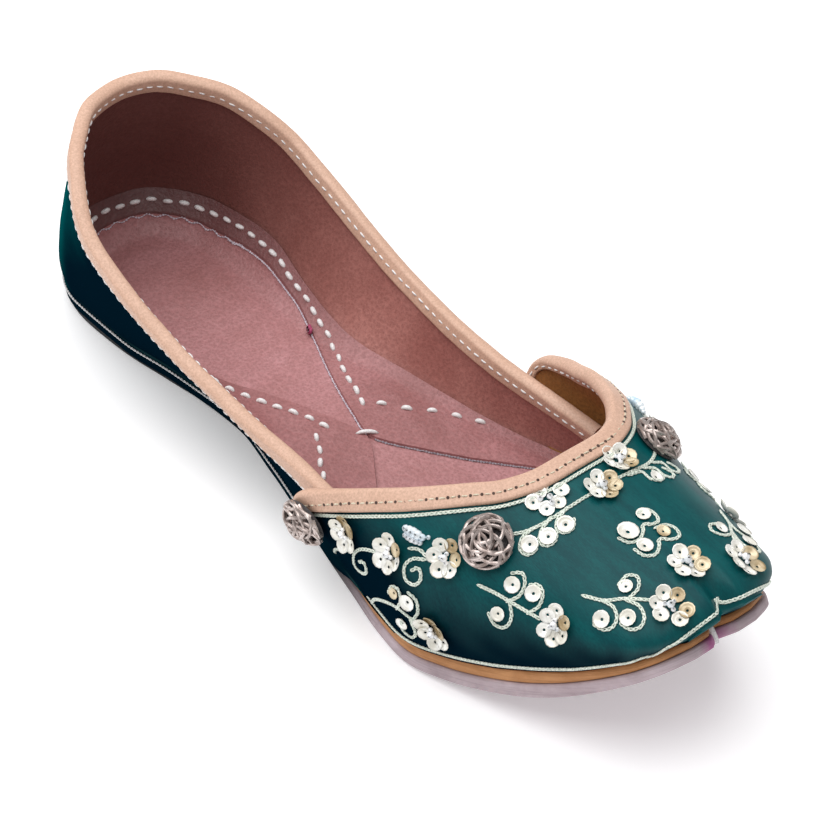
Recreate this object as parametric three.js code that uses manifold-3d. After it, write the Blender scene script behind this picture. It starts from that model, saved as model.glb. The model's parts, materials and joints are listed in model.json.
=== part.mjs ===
// Mojari: a flat, straight-lasted leather shoe with an upturned two-lobed toe.
// Millimetres, +Z up, toe towards -Y. A shoe point is (s, w, z): s runs from the heel to the toe,
// w to the wearer's right, z up.
import * as THREE from 'three'
import Module from 'manifold-3d'

const wasm = await Module()
wasm.setup()

// ---------- driving dimensions ----------
const LENGTH = 250          // sole length, measured along the ground before the toe turns up
const TOE_START = 172       // where the sole leaves the ground
const TOE_RISE = 35         // height of the sole's underside at the tip
const ARCH_RISE = 1.5       // lift of the sole under the waist
const ARCH_FROM = 58
const ARCH_TO = 148
const NOTCH = 3             // depth of the notch between the two toe lobes
const NOTCH_HALF = 5        // half width of that notch
const OUTSOLE = 4
const MIDSOLE = 3.4
const TOE_THIN_FROM = 212   // where the soles start to thin
const TOE_THIN = 2.6        // how much the outsole's underside comes up at the tip
const TOE_PLY = 1.5         // how much the seam between the two soles comes up there
const BELLY_LOW = 0.6       // below 1 the quarter swells most near the sole
const GAP = 0.3             // clearance between neighbouring pieces
const WALL = 2              // satin, leather and lining together
const INSOLE = 1.8
const BINDING = 0.7         // thickness of the binding leather
const COLLAR_DEPTH = 4.6    // how far the collar binding reaches down
const COLLAR_END = 10.4     // quarter row where it stops, inside the vamp
const THROAT_DEPTH = 5      // how far the throat binding reaches over the vamp
const WING_DEPTH = 4.4      // the same at the two wings
const INNER_DEPTH = 4       // and on the inside, shorter again at the wings
const LINING_TIP = 242      // where the inside of the toe ends
const ROSE_RADIUS = 6.6
const ROSE_HEIGHT = 5

// half width of the sole
const SOLE = [
  { s: 0, half: 7.5 }, { s: 1, half: 11.5 }, { s: 3, half: 15.6 }, { s: 7, half: 19 },
  { s: 14, half: 21.8 }, { s: 26, half: 23.4 }, { s: 40, half: 23 }, { s: 56, half: 20.8 },
  { s: 72, half: 19 }, { s: 86, half: 19.4 }, { s: 100, half: 22.2 }, { s: 120, half: 27.8 },
  { s: 136, half: 32 }, { s: 152, half: 36.2 }, { s: 168, half: 40.4 }, { s: 180, half: 42 },
  { s: 192, half: 39.8 }, { s: 205, half: 36.4 }, { s: 218, half: 32.6 }, { s: 230, half: 28.8 },
  { s: 238, half: 25.6 }, { s: 244, half: 22 }, { s: 248, half: 16.5 }, { s: 250, half: 11 },
]
// quarter wall: t counts the rows, foot is the bottom edge, top the collar edge
const QUARTER = [
  { t: 0, footS: 0.2, footW: 0, topS: 6, topW: 0, topZ: 64.8, belly: 3.9 },
  { t: 1, footS: 1.9, footW: 11.9, topS: 8.7, topW: 11.9, topZ: 64.4, belly: 3.9 },
  { t: 2, footS: 7.8, footW: 19.4, topS: 15, topW: 20.3, topZ: 62.8, belly: 4.1 },
  { t: 3, footS: 19.6, footW: 23.1, topS: 24.8, topW: 29.2, topZ: 59.2, belly: 4.3 },
  { t: 4, footS: 39.9, footW: 23.4, topS: 42.7, topW: 37.5, topZ: 49, belly: 3.9 },
  { t: 5, footS: 60, footW: 20.8, topS: 63, topW: 38.3, topZ: 40.4, belly: 2.9 },
  { t: 6, footS: 83, footW: 19.8, topS: 85, topW: 37.5, topZ: 33.4, belly: 2.1 },
  { t: 7, footS: 106, footW: 24.6, topS: 107, topW: 36.5, topZ: 29.6, belly: 1.7 },
  { t: 8, footS: 128, footW: 30.3, topS: 128, topW: 36, topZ: 28, belly: 1.2 },
  { t: 9, footS: 150, footW: 36.1, topS: 149, topW: 37.2, topZ: 27.2, belly: 1.4 },
  { t: 10, footS: 164, footW: 39.6, topS: 162, topW: 38, topZ: 26.8, belly: 1.2 },
  { t: 11, footS: 176, footW: 41.6, topS: 173, topW: 38.4, topZ: 26.4, belly: 0.8 },
]
// vamp: where the ridge runs, how far the side swells over the sole, how square the section is
const VAMP = [
  { s: 120, ridgeS: 120, ridgeZ: 63.9, belly: 16.2, square: 0.74 },
  { s: 136, ridgeS: 136, ridgeZ: 63.9, belly: 14, square: 0.76 },
  { s: 150, ridgeS: 150, ridgeZ: 62.3, belly: 9.8, square: 0.79 },
  { s: 168, ridgeS: 168.3, ridgeZ: 60.3, belly: 5.6, square: 0.8 },
  { s: 188, ridgeS: 187.8, ridgeZ: 57.3, belly: 3.4, square: 0.8 },
  { s: 200, ridgeS: 198.3, ridgeZ: 55.3, belly: 3, square: 0.81 },
  { s: 212, ridgeS: 209.3, ridgeZ: 53.9, belly: 2.8, square: 0.82 },
  { s: 224, ridgeS: 220.3, ridgeZ: 52.9, belly: 2.8, square: 0.83 },
  { s: 234, ridgeS: 230, ridgeZ: 52.1, belly: 3.2, square: 0.87 },
  { s: 242, ridgeS: 239, ridgeZ: 51.1, belly: 3.4, square: 0.92 },
  { s: 247, ridgeS: 244.8, ridgeZ: 49.2, belly: 3.4, square: 0.96 },
  { s: 250, ridgeS: 248, ridgeZ: 46.8, belly: 3.2, square: 1 },
]
// throat and wing edge of the vamp: around is 0 on the ridge and 1 at the sole
const THROAT = [
  { around: 0, s: 190.5 }, { around: 0.12, s: 190 }, { around: 0.2, s: 188 },
  { around: 0.27, s: 185 }, { around: 0.33, s: 181 }, { around: 0.4, s: 176.2 },
  { around: 0.47, s: 171 }, { around: 0.53, s: 166 }, { around: 0.59, s: 160.4 },
  { around: 0.65, s: 154.6 }, { around: 0.7, s: 149.5 }, { around: 0.75, s: 144.4 },
  { around: 0.8, s: 139.8 }, { around: 0.85, s: 136.9 }, { around: 0.9, s: 136.4 },
  { around: 0.94, s: 139 }, { around: 0.975, s: 147 }, { around: 1, s: 160 },
]
// the one at the right wing sits over the end of the throat binding
const ROSES = [
  { name: 'rosette_right', s: 142.5, around: 0.86, lift: BINDING + 2 * GAP },
  { name: 'rosette_centre', s: 194.5, around: 0.47, lift: GAP },
  { name: 'rosette_left', s: 196, around: -0.41, lift: GAP },
]

// ---------- small maths ----------
const lerp = (a, b, k) => a + (b - a) * k
const clamp = (x, lo, hi) => Math.min(hi, Math.max(lo, x))
const smooth = (lo, hi, x) => {
  const k = clamp((x - lo) / (hi - lo), 0, 1)
  return k * k * (3 - 2 * k)
}
// smooth curve through table rows that never overshoots them
function through(rows, key, value) {
  const x = rows.map((r) => r[key])
  const y = rows.map((r) => r[value])
  const last = x.length - 1
  const slope = x.slice(1).map((_, i) => (y[i + 1] - y[i]) / (x[i + 1] - x[i]))
  const tangent = y.map((_, i) => {
    if (i === 0) return slope[0]
    if (i === last) return slope[last - 1]
    const [a, b] = [slope[i - 1], slope[i]]
    return a * b <= 0 ? 0 : (2 * a * b) / (a + b)
  })
  return (at) => {
    const v = clamp(at, x[0], x[last])
    let i = 0
    while (i < last - 1 && v > x[i + 1]) i += 1
    const h = x[i + 1] - x[i]
    const k = (v - x[i]) / h
    const k2 = k * k
    const k3 = k2 * k
    return (2 * k3 - 3 * k2 + 1) * y[i] + (k3 - 2 * k2 + k) * h * tangent[i]
      + (3 * k2 - 2 * k3) * y[i + 1] + (k3 - k2) * h * tangent[i + 1]
  }
}
const table = (rows, key) => Object.fromEntries(
  Object.keys(rows[0]).filter((n) => n !== key).map((n) => [n, through(rows, key, n)]))
const vec = (p) => new THREE.Vector3(...p)
const place = ([s, w, z]) => [-w, LENGTH / 2 - s, z]

// ---------- form of the last ----------
const soleHalf = through(SOLE, 's', 'half')
const rise = (s) => {
  const toe = Math.max(0, (s - TOE_START) / (LENGTH - TOE_START))
  const arch = clamp((s - ARCH_FROM) / (ARCH_TO - ARCH_FROM), 0, 1)
  return TOE_RISE * toe * toe + ARCH_RISE * Math.sin(Math.PI * arch) ** 2
}
const tiltAt = (s) => Math.atan2(rise(s + 0.5) - rise(s - 0.5), 1)
// point h above the sole's underside, measured square to it
function onSole(s, w, h) {
  const tilt = tiltAt(s)
  const notch = NOTCH * (1 - smooth(0, NOTCH_HALF, Math.abs(w))) * smooth(LENGTH - 14, LENGTH, s)
  return [s - notch - h * Math.sin(tilt), w, rise(s - notch) + h * Math.cos(tilt)]
}
const SEAT = OUTSOLE + GAP + MIDSOLE + GAP   // height of the upper's bottom edge

const quarter = table(QUARTER, 't')
const QUARTER_END = QUARTER[QUARTER.length - 1].t
// v is 0 at the sole and 1 at the collar edge; t is negative on the left
function quarterOuter(t, v) {
  const k = Math.abs(t)
  const side = Math.sign(t) || 1
  const foot = onSole(quarter.footS(k), quarter.footW(k), SEAT)
  const lean = quarter.belly(k) * Math.sin(Math.PI * clamp(v, 0, 1) ** BELLY_LOW)
  const back = 1 - smooth(1.2, 3.2, k)
  return [
    lerp(foot[0], quarter.topS(k), v) - lean * back,
    side * (lerp(foot[1], quarter.topW(k), v) + lean * (1 - back)),
    lerp(foot[2], quarter.topZ(k), v)]
}

const vamp = table(VAMP, 's')
const throatS = through(THROAT, 'around', 's')
// around runs from -1 at the left sole edge over the ridge to 1 at the right sole edge
function vampOuter(s, around) {
  const a = Math.abs(around) * Math.PI / 2
  const power = vamp.square(s)
  const high = Math.max(0, Math.cos(a)) ** power
  const wide = Math.sin(a) ** power
  const half = wide * (soleHalf(s) + vamp.belly(s) * Math.sin(Math.PI * high))
  const foot = onSole(s, half, SEAT)
  const notch = NOTCH * (1 - smooth(0, NOTCH_HALF, half)) * smooth(LENGTH - 14, LENGTH, s)
  return [
    lerp(foot[0], vamp.ridgeS(s) - notch, high), Math.sign(around) * half,
    lerp(foot[2], vamp.ridgeZ(s) - notch, high)]
}
// outward normal of a surface given as a function of two parameters
function normalOf(surface, a, b, da, db) {
  const alongA = vec(surface(a + da, b)).sub(vec(surface(a - da, b)))
  const alongB = vec(surface(a, b + db)).sub(vec(surface(a, b - db)))
  return alongA.cross(alongB).normalize()
}
const vampNormal = (s, around) => normalOf(vampOuter, Math.min(s, LENGTH - 1),
  clamp(around, -0.995, 0.995), 0.4, 0.004)
const quarterNormal = (t, v) => normalOf(quarterOuter,
  clamp(t, -QUARTER_END + 0.02, QUARTER_END - 0.02), clamp(v, 0.02, 0.98), 0.02, 0.02).negate()
const offset = (p, n, d) => [p[0] + n.x * d, p[1] + n.y * d, p[2] + n.z * d]

function quarterInner(t, v) {
  const n = quarterNormal(t, v)
  if (v <= 0) n.setZ(0).normalize()
  return offset(quarterOuter(t, v), n, -WALL)
}
// near the sole the wall is measured along the sole, so its bottom edge stays flat
function vampInner(s, around) {
  const up = new THREE.Vector3(-Math.sin(tiltAt(s)), 0, Math.cos(tiltAt(s)))
  const n = vampNormal(s, around)
  const flat = smooth(0.87, 0.97, Math.abs(around))
  n.addScaledVector(up, -n.dot(up) * flat).normalize()
  return offset(vampOuter(s, around), n, -WALL)
}

// ---------- solids ----------
function solidFrom(points, faces) {
  const flat = points.flatMap(place)
  const geometry = new THREE.BufferGeometry()
  geometry.setAttribute('position', new THREE.Float32BufferAttribute(flat, 3))
  geometry.setIndex(faces.flat())
  let volume = 0
  const at = (i) => vec(flat.slice(3 * i, 3 * i + 3))
  for (const [a, b, c] of faces) volume += at(a).dot(at(b).cross(at(c)))
  if (volume < 0) geometry.setIndex(faces.flatMap(([a, b, c]) => [a, c, b]))
  return geometry
}
// two grids of the same size, joined all round their borders
function shell(outer, inner) {
  const rows = outer.length
  const cols = outer[0].length
  const id = (side, i, j) => side * rows * cols + i * cols + j
  const faces = []
  const quad = (a, b, c, d) => faces.push([a, b, c], [a, c, d])
  for (let i = 0; i < rows - 1; i += 1) {
    for (let j = 0; j < cols - 1; j += 1) {
      quad(id(0, i, j), id(0, i + 1, j), id(0, i + 1, j + 1), id(0, i, j + 1))
      quad(id(1, i, j), id(1, i, j + 1), id(1, i + 1, j + 1), id(1, i + 1, j))
    }
    quad(id(0, i, 0), id(1, i, 0), id(1, i + 1, 0), id(0, i + 1, 0))
    quad(id(0, i, cols - 1), id(0, i + 1, cols - 1), id(1, i + 1, cols - 1), id(1, i, cols - 1))
  }
  for (let j = 0; j < cols - 1; j += 1) {
    quad(id(0, 0, j), id(0, 0, j + 1), id(1, 0, j + 1), id(1, 0, j))
    quad(id(0, rows - 1, j), id(1, rows - 1, j), id(1, rows - 1, j + 1), id(0, rows - 1, j + 1))
  }
  return solidFrom([...outer.flat(), ...inner.flat()], faces)
}
// closed outline moved along a list of stations, capped at both ends
function sweep(sections) {
  const n = sections[0].length
  const faces = []
  sections.slice(1).forEach((_, i) => {
    for (let j = 0; j < n; j += 1) {
      const k = (j + 1) % n
      faces.push([i * n + j, (i + 1) * n + j, (i + 1) * n + k], [i * n + j, (i + 1) * n + k, i * n + k])
    }
  })
  const caps = [[0, 1], [sections.length - 1, -1]]
  const half = n / 2
  for (const [row, turn] of caps) {
    for (let j = 0; j < half - 1; j += 1) {
      const [a, b, c, d] = [j, j + 1, n - 2 - j, n - 1 - j].map((q) => row * n + q)
      faces.push(...(turn > 0 ? [[a, b, c], [a, c, d]] : [[a, c, b], [a, d, c]]))
    }
  }
  return solidFrom(sections.flat(), faces)
}
const spread = (n) => Array.from({ length: n + 1 }, (_, i) => i / n)
const bothSides = (list) => [...list.slice(1).map((x) => -x).reverse(), ...list]

// a layer of the sole, set in from the outline; low and high are each [height, rise at the tip]
function layer(low, high, inset, from, to, stations) {
  const across = [-1, -0.5, -0.16, 0, 0.16, 0.5, 1]
  const rows = spread(stations).map((k) => lerp(from, to, (1 - Math.cos(Math.PI * k)) / 2))
  const thin = (s) => smooth(TOE_THIN_FROM, LENGTH, s)
  const grid = (h, up) => rows.map((s) => {
    const shift = (s - from) / (to - from)
    const half = Math.min(soleHalf(s), soleHalf(s - lerp(from, to - LENGTH, shift))) - inset
    return across.map((c) => onSole(s, c * half, h + up * thin(s)))
  })
  return shell(grid(...high), grid(...low))
}

const QUARTER_STEPS = spread(24).map((k) => k * QUARTER_END)
function quarterSolid() {
  const around = bothSides(QUARTER_STEPS)
  const up = spread(6)
  return shell(around.map((t) => up.map((v) => quarterOuter(t, v))),
    around.map((t) => up.map((v) => quarterInner(t, v))))
}
const AROUND = bothSides([0, 0.08, 0.16, 0.24, 0.32, 0.4, 0.47, 0.54, 0.6, 0.65, 0.7, 0.745, 0.785,
  0.82, 0.856, 0.89, 0.92, 0.948, 0.972, 0.989, 1])
function vampSolid() {
  const along = spread(14).map((k) => 1 - (1 - k) ** 1.35)
  const grid = (surface, tip) => AROUND.map((a) => {
    const start = throatS(Math.abs(a))
    return along.map((k) => surface(lerp(start, tip, k), a))
  })
  const outer = grid(vampOuter, LENGTH)
  const inner = grid(vampInner, LINING_TIP)
  const cols = along.length
  const rows = AROUND.length
  const points = [...outer.flat(), ...inner.flat()]
  const id = (side, i, j) => side * rows * cols + i * cols + j
  const faces = []
  const quad = (a, b, c, d) => faces.push([a, b, c], [a, c, d])
  for (let i = 0; i < rows - 1; i += 1) {
    for (let j = 0; j < cols - 1; j += 1) {
      quad(id(0, i, j), id(0, i, j + 1), id(0, i + 1, j + 1), id(0, i + 1, j))
      quad(id(1, i, j), id(1, i + 1, j), id(1, i + 1, j + 1), id(1, i, j + 1))
    }
    quad(id(0, i, 0), id(0, i + 1, 0), id(1, i + 1, 0), id(1, i, 0))
  }
  for (let j = 0; j < cols - 1; j += 1) {
    quad(id(0, 0, j), id(1, 0, j), id(1, 0, j + 1), id(0, 0, j + 1))
    quad(id(0, rows - 1, j), id(0, rows - 1, j + 1), id(1, rows - 1, j + 1), id(1, rows - 1, j))
  }
  // toe end: a small front face outside, another inside, and the strip of bottom edge between
  const end = cols - 1
  const fronts = [[0, onSole(LENGTH, 0, SEAT), 1], [1, onSole(LINING_TIP, 0, SEAT), -1]]
  const feet = fronts.map(([side, point, turn]) => {
    points.push(point)
    const foot = points.length - 1
    for (let i = 0; i < rows - 1; i += 1) {
      const [a, b] = [id(side, i, end), id(side, i + 1, end)]
      faces.push(turn > 0 ? [foot, b, a] : [foot, a, b])
    }
    return foot
  })
  quad(id(0, 0, end), id(1, 0, end), feet[1], feet[0])
  quad(feet[0], feet[1], id(1, rows - 1, end), id(0, rows - 1, end))
  return solidFrom(points, faces)
}

// the collar binding is folded over the quarter's top edge
function collarBinding() {
  const around = bothSides(QUARTER_STEPS.filter((t) => t < COLLAR_END))
  const skin = GAP + BINDING
  const [near, far, half] = [-WALL - GAP, -WALL - skin, -COLLAR_DEPTH / 2]
  const profile = [
    [GAP, 2 * half], [GAP, half], [GAP, GAP], [-WALL / 2, GAP], [near, GAP], [near, half],
    [near, 2 * half], [far, 2 * half], [far, half], [far, 0.1], [-WALL / 2, skin + 0.3],
    [skin, 0.1], [skin, half], [skin, 2 * half]]
  return sweep(around.map((t) => {
    const height = vec(quarterOuter(t, 1)).distanceTo(vec(quarterOuter(t, 0)))
    return profile.map(([out, up]) => {
      const v = 1 + up / height
      return offset(quarterOuter(t, v), quarterNormal(t, v), out)
    })
  }))
}

// walk over the vamp from a point, in a direction given in space; returns the new place on it
function walk(start, heading, distance, steps = 4) {
  let [s, around] = start
  const [ds, da] = [0.4, 0.004]
  for (let i = 0; i < steps; i += 1) {
    const a = clamp(around, -0.995, 0.995)
    const alongS = vec(vampOuter(s + ds, a)).sub(vec(vampOuter(s - ds, a))).divideScalar(2 * ds)
    const alongA = vec(vampOuter(s, a + da)).sub(vec(vampOuter(s, a - da))).divideScalar(2 * da)
    const n = vampNormal(s, a)
    const dir = heading.clone().addScaledVector(n, -heading.dot(n)).normalize()
    const [e, f, g] = [alongS.dot(alongS), alongS.dot(alongA), alongA.dot(alongA)]
    const [p, q] = [dir.dot(alongS), dir.dot(alongA)]
    const det = e * g - f * f
    s += (distance / steps) * (g * p - f * q) / det
    around += (distance / steps) * (e * q - f * p) / det
  }
  return [s, around]
}
const overVamp = ([s, around], height) => offset(vampOuter(s, around), vampNormal(s, around), height)

// the throat binding is folded over the vamp's edge, wide outside and narrow inside
function throatBinding() {
  const around = AROUND.filter((a) => Math.abs(a) < 0.935)
  const snug = GAP + 0.05
  const skin = snug + BINDING
  const inside = -WALL - snug
  return sweep(around.map((a) => {
    const edge = (x) => vampOuter(throatS(Math.abs(x)), x)
    const at = [throatS(Math.abs(a)), a]
    const along = vec(edge(a + 0.01)).sub(vec(edge(a - 0.01))).normalize()
    const n = vampNormal(...at)
    const inward = along.clone().cross(n).normalize()
    const test = vec(vampOuter(LENGTH, 0)).sub(vec(edge(a)))
    if (inward.dot(test) < 0) inward.negate()
    const depth = lerp(THROAT_DEPTH, WING_DEPTH, smooth(0.5, 0.8, Math.abs(a)))
    const inner = lerp(INNER_DEPTH, INNER_DEPTH / 2, smooth(0.6, 0.78, Math.abs(a)))
    const legs = [depth, depth * 2 / 3, depth / 3].map((d) => walk(at, inward, d))
    const innerLegs = [inner, inner / 2].map((d) => walk(at, inward, d))
    const lip = (out, back) => offset(offset(edge(a), n, out), inward, -back)
    return [
      ...legs.map((p) => overVamp(p, snug)), lip(snug, GAP), lip(-WALL / 2, GAP), lip(inside, GAP),
      ...[...innerLegs].reverse().map((p) => overVamp(p, inside)),
      ...innerLegs.map((p) => overVamp(p, inside - BINDING)), lip(inside - BINDING, 0),
      lip(-WALL / 2, skin + 0.3), lip(skin, 0),
      ...[...legs].reverse().map((p) => overVamp(p, skin))]
  }))
}

// a knot of coiled wire, built up from the vamp's own surface
function rose({ s, around, lift }) {
  const petals = 5
  const rings = [0.36, 0.68, 0.9, 1]
  const turns = 20
  const points = []
  const faces = []
  const n = vampNormal(s, around)
  const forward = vec(vampOuter(s + 1, around)).sub(vec(vampOuter(s, around))).projectOnPlane(n).normalize()
  const spot = (r, angle, height) => {
    const heading = forward.clone().applyAxisAngle(n, angle)
    const far = walk([s, around], heading, r * ROSE_RADIUS, 3)
    return overVamp(far, height)
  }
  const dome = (r, angle) => {
    const fold = 0.14 * Math.cos(petals * angle + 5 * r)
    return lift + ROSE_HEIGHT * (Math.sqrt(Math.max(0, 1 - r * r)) * (1 + fold) * 0.82 + 0.18)
  }
  points.push(spot(0, 0, dome(0, 0)), spot(0, 0, lift))
  for (let j = 0; j < turns; j += 1) {
    const angle = (2 * Math.PI * j) / turns
    for (const r of rings) points.push(spot(r, angle, dome(r, angle)))
    for (const r of [...rings].reverse()) points.push(spot(r * 0.97, angle, lift))
  }
  const ring = 2 * rings.length
  for (let j = 0; j < turns; j += 1) {
    const [a, b] = [2 + j * ring, 2 + ((j + 1) % turns) * ring]
    faces.push([0, a, b], [1, b + ring - 1, a + ring - 1])
    for (let i = 0; i < ring - 1; i += 1) {
      faces.push([a + i, a + i + 1, b + i + 1], [a + i, b + i + 1, b + i])
    }
  }
  return solidFrom(points, faces)
}

// ---------- joining ----------
function toManifold(geometry) {
  const flat = geometry.getAttribute('position').array
  return new wasm.Manifold(new wasm.Mesh({
    numProp: 3, vertProperties: Float32Array.from(flat), triVerts: Uint32Array.from(geometry.index.array),
  }))
}
function fromManifold(manifold) {
  const mesh = manifold.getMesh()
  const geometry = new THREE.BufferGeometry()
  const flat = []
  for (let i = 0; i < mesh.vertProperties.length; i += mesh.numProp) {
    flat.push(...mesh.vertProperties.slice(i, i + 3))
  }
  geometry.setAttribute('position', new THREE.Float32BufferAttribute(flat, 3))
  geometry.setIndex([...mesh.triVerts])
  return geometry
}

// ---------- assembly ----------
const COLORS = {
  satin: 0x00605c, tan: 0xd3ad94, lining: 0xa06a60, midsole: 0xb98155, outsole: 0xc9b3b4, wire: 0x8d7a6c,
}
const group = new THREE.Group()
group.name = 'mojari'
function add(name, geometry, color, roughness, metalness = 0) {
  geometry.computeVertexNormals()
  const material = new THREE.MeshStandardMaterial({ color: COLORS[color], roughness, metalness })
  material.name = color
  const mesh = new THREE.Mesh(geometry, material)
  mesh.name = name
  group.add(mesh)
}

const base = OUTSOLE + GAP
add('outsole', layer([0, TOE_THIN], [OUTSOLE, TOE_PLY], 0, 0, LENGTH, 36), 'outsole', 0.7)
add('midsole', layer([base, TOE_PLY], [base + MIDSOLE, 0], 0.4, 0.4, LENGTH - 0.4, 36), 'midsole', 0.7)
add('insole', layer([SEAT, 0], [SEAT + INSOLE, 0], WALL + 1.3, 4, LINING_TIP - 5, 32), 'lining', 0.75)
add('upper', fromManifold(toManifold(vampSolid()).add(toManifold(quarterSolid()))), 'satin', 0.45)
add('collar_binding', collarBinding(), 'tan', 0.6)
add('throat_binding', throatBinding(), 'tan', 0.6)
for (const knot of ROSES) add(knot.name, rose(knot), 'wire', 0.4, 0.8)

const bounds = new THREE.Box3().setFromObject(group)
group.position.set(-(bounds.min.x + bounds.max.x) / 2, -(bounds.min.y + bounds.max.y) / 2, -bounds.min.z)

export default group
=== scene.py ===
"""Looks of a mojari: satin upper, bound collar and throat, leather sole, couched cord and sequins.

A shoe point is (s, w, z) in millimetres: s from the heel to the toe, w to the wearer's right, z up.
"""

import json
import math

import bpy
import numpy as np
from mathutils import Matrix, Vector

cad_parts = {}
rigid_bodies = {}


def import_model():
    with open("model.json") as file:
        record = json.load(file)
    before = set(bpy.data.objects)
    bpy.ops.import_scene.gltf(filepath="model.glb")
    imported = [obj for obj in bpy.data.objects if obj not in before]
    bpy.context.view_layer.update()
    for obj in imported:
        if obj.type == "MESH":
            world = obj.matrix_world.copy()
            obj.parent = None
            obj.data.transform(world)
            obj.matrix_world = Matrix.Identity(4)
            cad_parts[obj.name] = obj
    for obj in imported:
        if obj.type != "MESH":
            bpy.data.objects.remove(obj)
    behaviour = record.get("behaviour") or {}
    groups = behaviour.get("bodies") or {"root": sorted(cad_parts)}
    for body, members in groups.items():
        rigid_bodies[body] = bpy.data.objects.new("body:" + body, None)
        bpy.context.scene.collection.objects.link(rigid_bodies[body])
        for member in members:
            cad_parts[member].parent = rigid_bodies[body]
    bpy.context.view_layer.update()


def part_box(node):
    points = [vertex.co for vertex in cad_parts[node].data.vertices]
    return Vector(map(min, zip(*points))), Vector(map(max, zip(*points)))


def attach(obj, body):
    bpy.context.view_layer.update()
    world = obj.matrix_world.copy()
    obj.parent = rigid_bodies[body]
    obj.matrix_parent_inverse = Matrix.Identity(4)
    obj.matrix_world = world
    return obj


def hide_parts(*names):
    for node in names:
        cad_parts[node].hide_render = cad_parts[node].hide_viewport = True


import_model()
MM = 0.001
SEED = 7

# ---------------------------------------------------------------- sizes, as in the part's source
LENGTH, TOE_START, TOE_RISE = 250.0, 172.0, 35.0
ARCH_RISE, ARCH_FROM, ARCH_TO = 1.5, 58.0, 148.0
# notch between the two lobes of the toe: its depth, half width and length
NOTCH, NOTCH_HALF, NOTCH_LONG = 3.0, 5.0, 14.0
OUTSOLE, MIDSOLE, INSOLE, GAP, WALL = 4.0, 3.4, 1.8, 0.3, 2.0
# the upper's foot, and the foot bed's top
SEAT = OUTSOLE + GAP + MIDSOLE + GAP
FLOOR = SEAT + INSOLE
# how low the quarters bulge most; below 1 it is under their middle
BELLY_LOW = 0.6
# satin drawn down over the sole: its lowest height, where it ends, and how far out it lies and swells
SKIRT_LOW, SKIRT_FROM, SKIRT_TO, SKIRT_OUT, SKIRT_SWELL = 2.2, 140.0, 160.0, 0.25, 0.5
LINING_TIP = 242.0
# how deep the bindings reach, and the quarters' row where the collar's ends
THROAT_DEPTH, WING_DEPTH, INNER_DEPTH = 5.0, 4.4, 4.0
COLLAR_DEPTH, COLLAR_END = 4.6, 10.4
# where the soles start to thin, and how far underside and joint have come up at the tip
TOE_THIN_FROM, TOE_THIN, TOE_PLY = 212.0, 2.6, 1.5

# s, half width of the sole
SOLE = [
    (0, 7.5), (1, 11.5), (3, 15.6), (7, 19), (14, 21.8), (26, 23.4), (40, 23), (56, 20.8),
    (72, 19), (86, 19.4), (100, 22.2), (120, 27.8), (136, 32), (152, 36.2), (168, 40.4),
    (180, 42), (192, 39.8), (205, 36.4), (218, 32.6), (230, 28.8), (238, 25.6), (244, 22),
    (248, 16.5), (250, 11),
]
# row, foot s, foot w, top s, top w, top z, belly
QUARTER = [
    (0, 0.2, 0, 6, 0, 64.8, 3.9), (1, 1.9, 11.9, 8.7, 11.9, 64.4, 3.9),
    (2, 7.8, 19.4, 15, 20.3, 62.8, 4.1), (3, 19.6, 23.1, 24.8, 29.2, 59.2, 4.3),
    (4, 39.9, 23.4, 42.7, 37.5, 49, 3.9), (5, 60, 20.8, 63, 38.3, 40.4, 2.9),
    (6, 83, 19.8, 85, 37.5, 33.4, 2.1), (7, 106, 24.6, 107, 36.5, 29.6, 1.7),
    (8, 128, 30.3, 128, 36, 28, 1.2), (9, 150, 36.1, 149, 37.2, 27.2, 1.4),
    (10, 164, 39.6, 162, 38, 26.8, 1.2), (11, 176, 41.6, 173, 38.4, 26.4, 0.8),
]
QUARTER_END = 11.0
# s, ridge s, ridge z, belly, squareness
VAMP = [
    (120, 120, 63.9, 16.2, 0.74), (136, 136, 63.9, 14, 0.76), (150, 150, 62.3, 9.8, 0.79),
    (168, 168.3, 60.3, 5.6, 0.8), (188, 187.8, 57.3, 3.4, 0.8), (200, 198.3, 55.3, 3, 0.81),
    (212, 209.3, 53.9, 2.8, 0.82), (224, 220.3, 52.9, 2.8, 0.83), (234, 230, 52.1, 3.2, 0.87),
    (242, 239, 51.1, 3.4, 0.92), (247, 244.8, 49.2, 3.4, 0.96), (250, 248, 46.8, 3.2, 1),
]
# around (0 on the ridge, 1 at the sole), s of the throat and wing edge
THROAT = [
    (0, 190.5), (0.12, 190), (0.2, 188), (0.27, 185), (0.33, 181), (0.4, 176.2), (0.47, 171),
    (0.53, 166), (0.59, 160.4), (0.65, 154.6), (0.7, 149.5), (0.75, 144.4), (0.8, 139.8),
    (0.85, 136.9), (0.9, 136.4), (0.94, 139), (0.975, 147), (1, 160),
]

# ---------------------------------------------------------------- small maths


def through(rows, column, mirror=False):
    """Smooth curve through one column of a table; mirror makes it level at the first row."""
    x = np.array([r[0] for r in rows], float)
    y = np.array([r[column] for r in rows], float)
    slope = np.diff(y) / np.diff(x)
    a, b, before, after = slope[:-1], slope[1:], np.diff(x)[:-1], np.diff(x)[1:]
    curve = (a * after + b * before) / (before + after)
    most = 3 * np.minimum(np.abs(a), np.abs(b))
    inner = np.where(a * b > 0, np.clip(curve, -most, most), 0)
    tangent = np.concatenate([slope[:1] * (not mirror), inner, slope[-1:]])

    def value(at):
        v = np.clip(np.asarray(at, float), x[0], x[-1])
        i = np.clip(np.searchsorted(x, v, side="right") - 1, 0, len(x) - 2)
        h = x[i + 1] - x[i]
        k = (v - x[i]) / h
        k2, k3 = k * k, k * k * k
        return ((2 * k3 - 3 * k2 + 1) * y[i] + (k3 - 2 * k2 + k) * h * tangent[i]
                + (3 * k2 - 2 * k3) * y[i + 1] + (k3 - k2) * h * tangent[i + 1])

    return value


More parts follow.
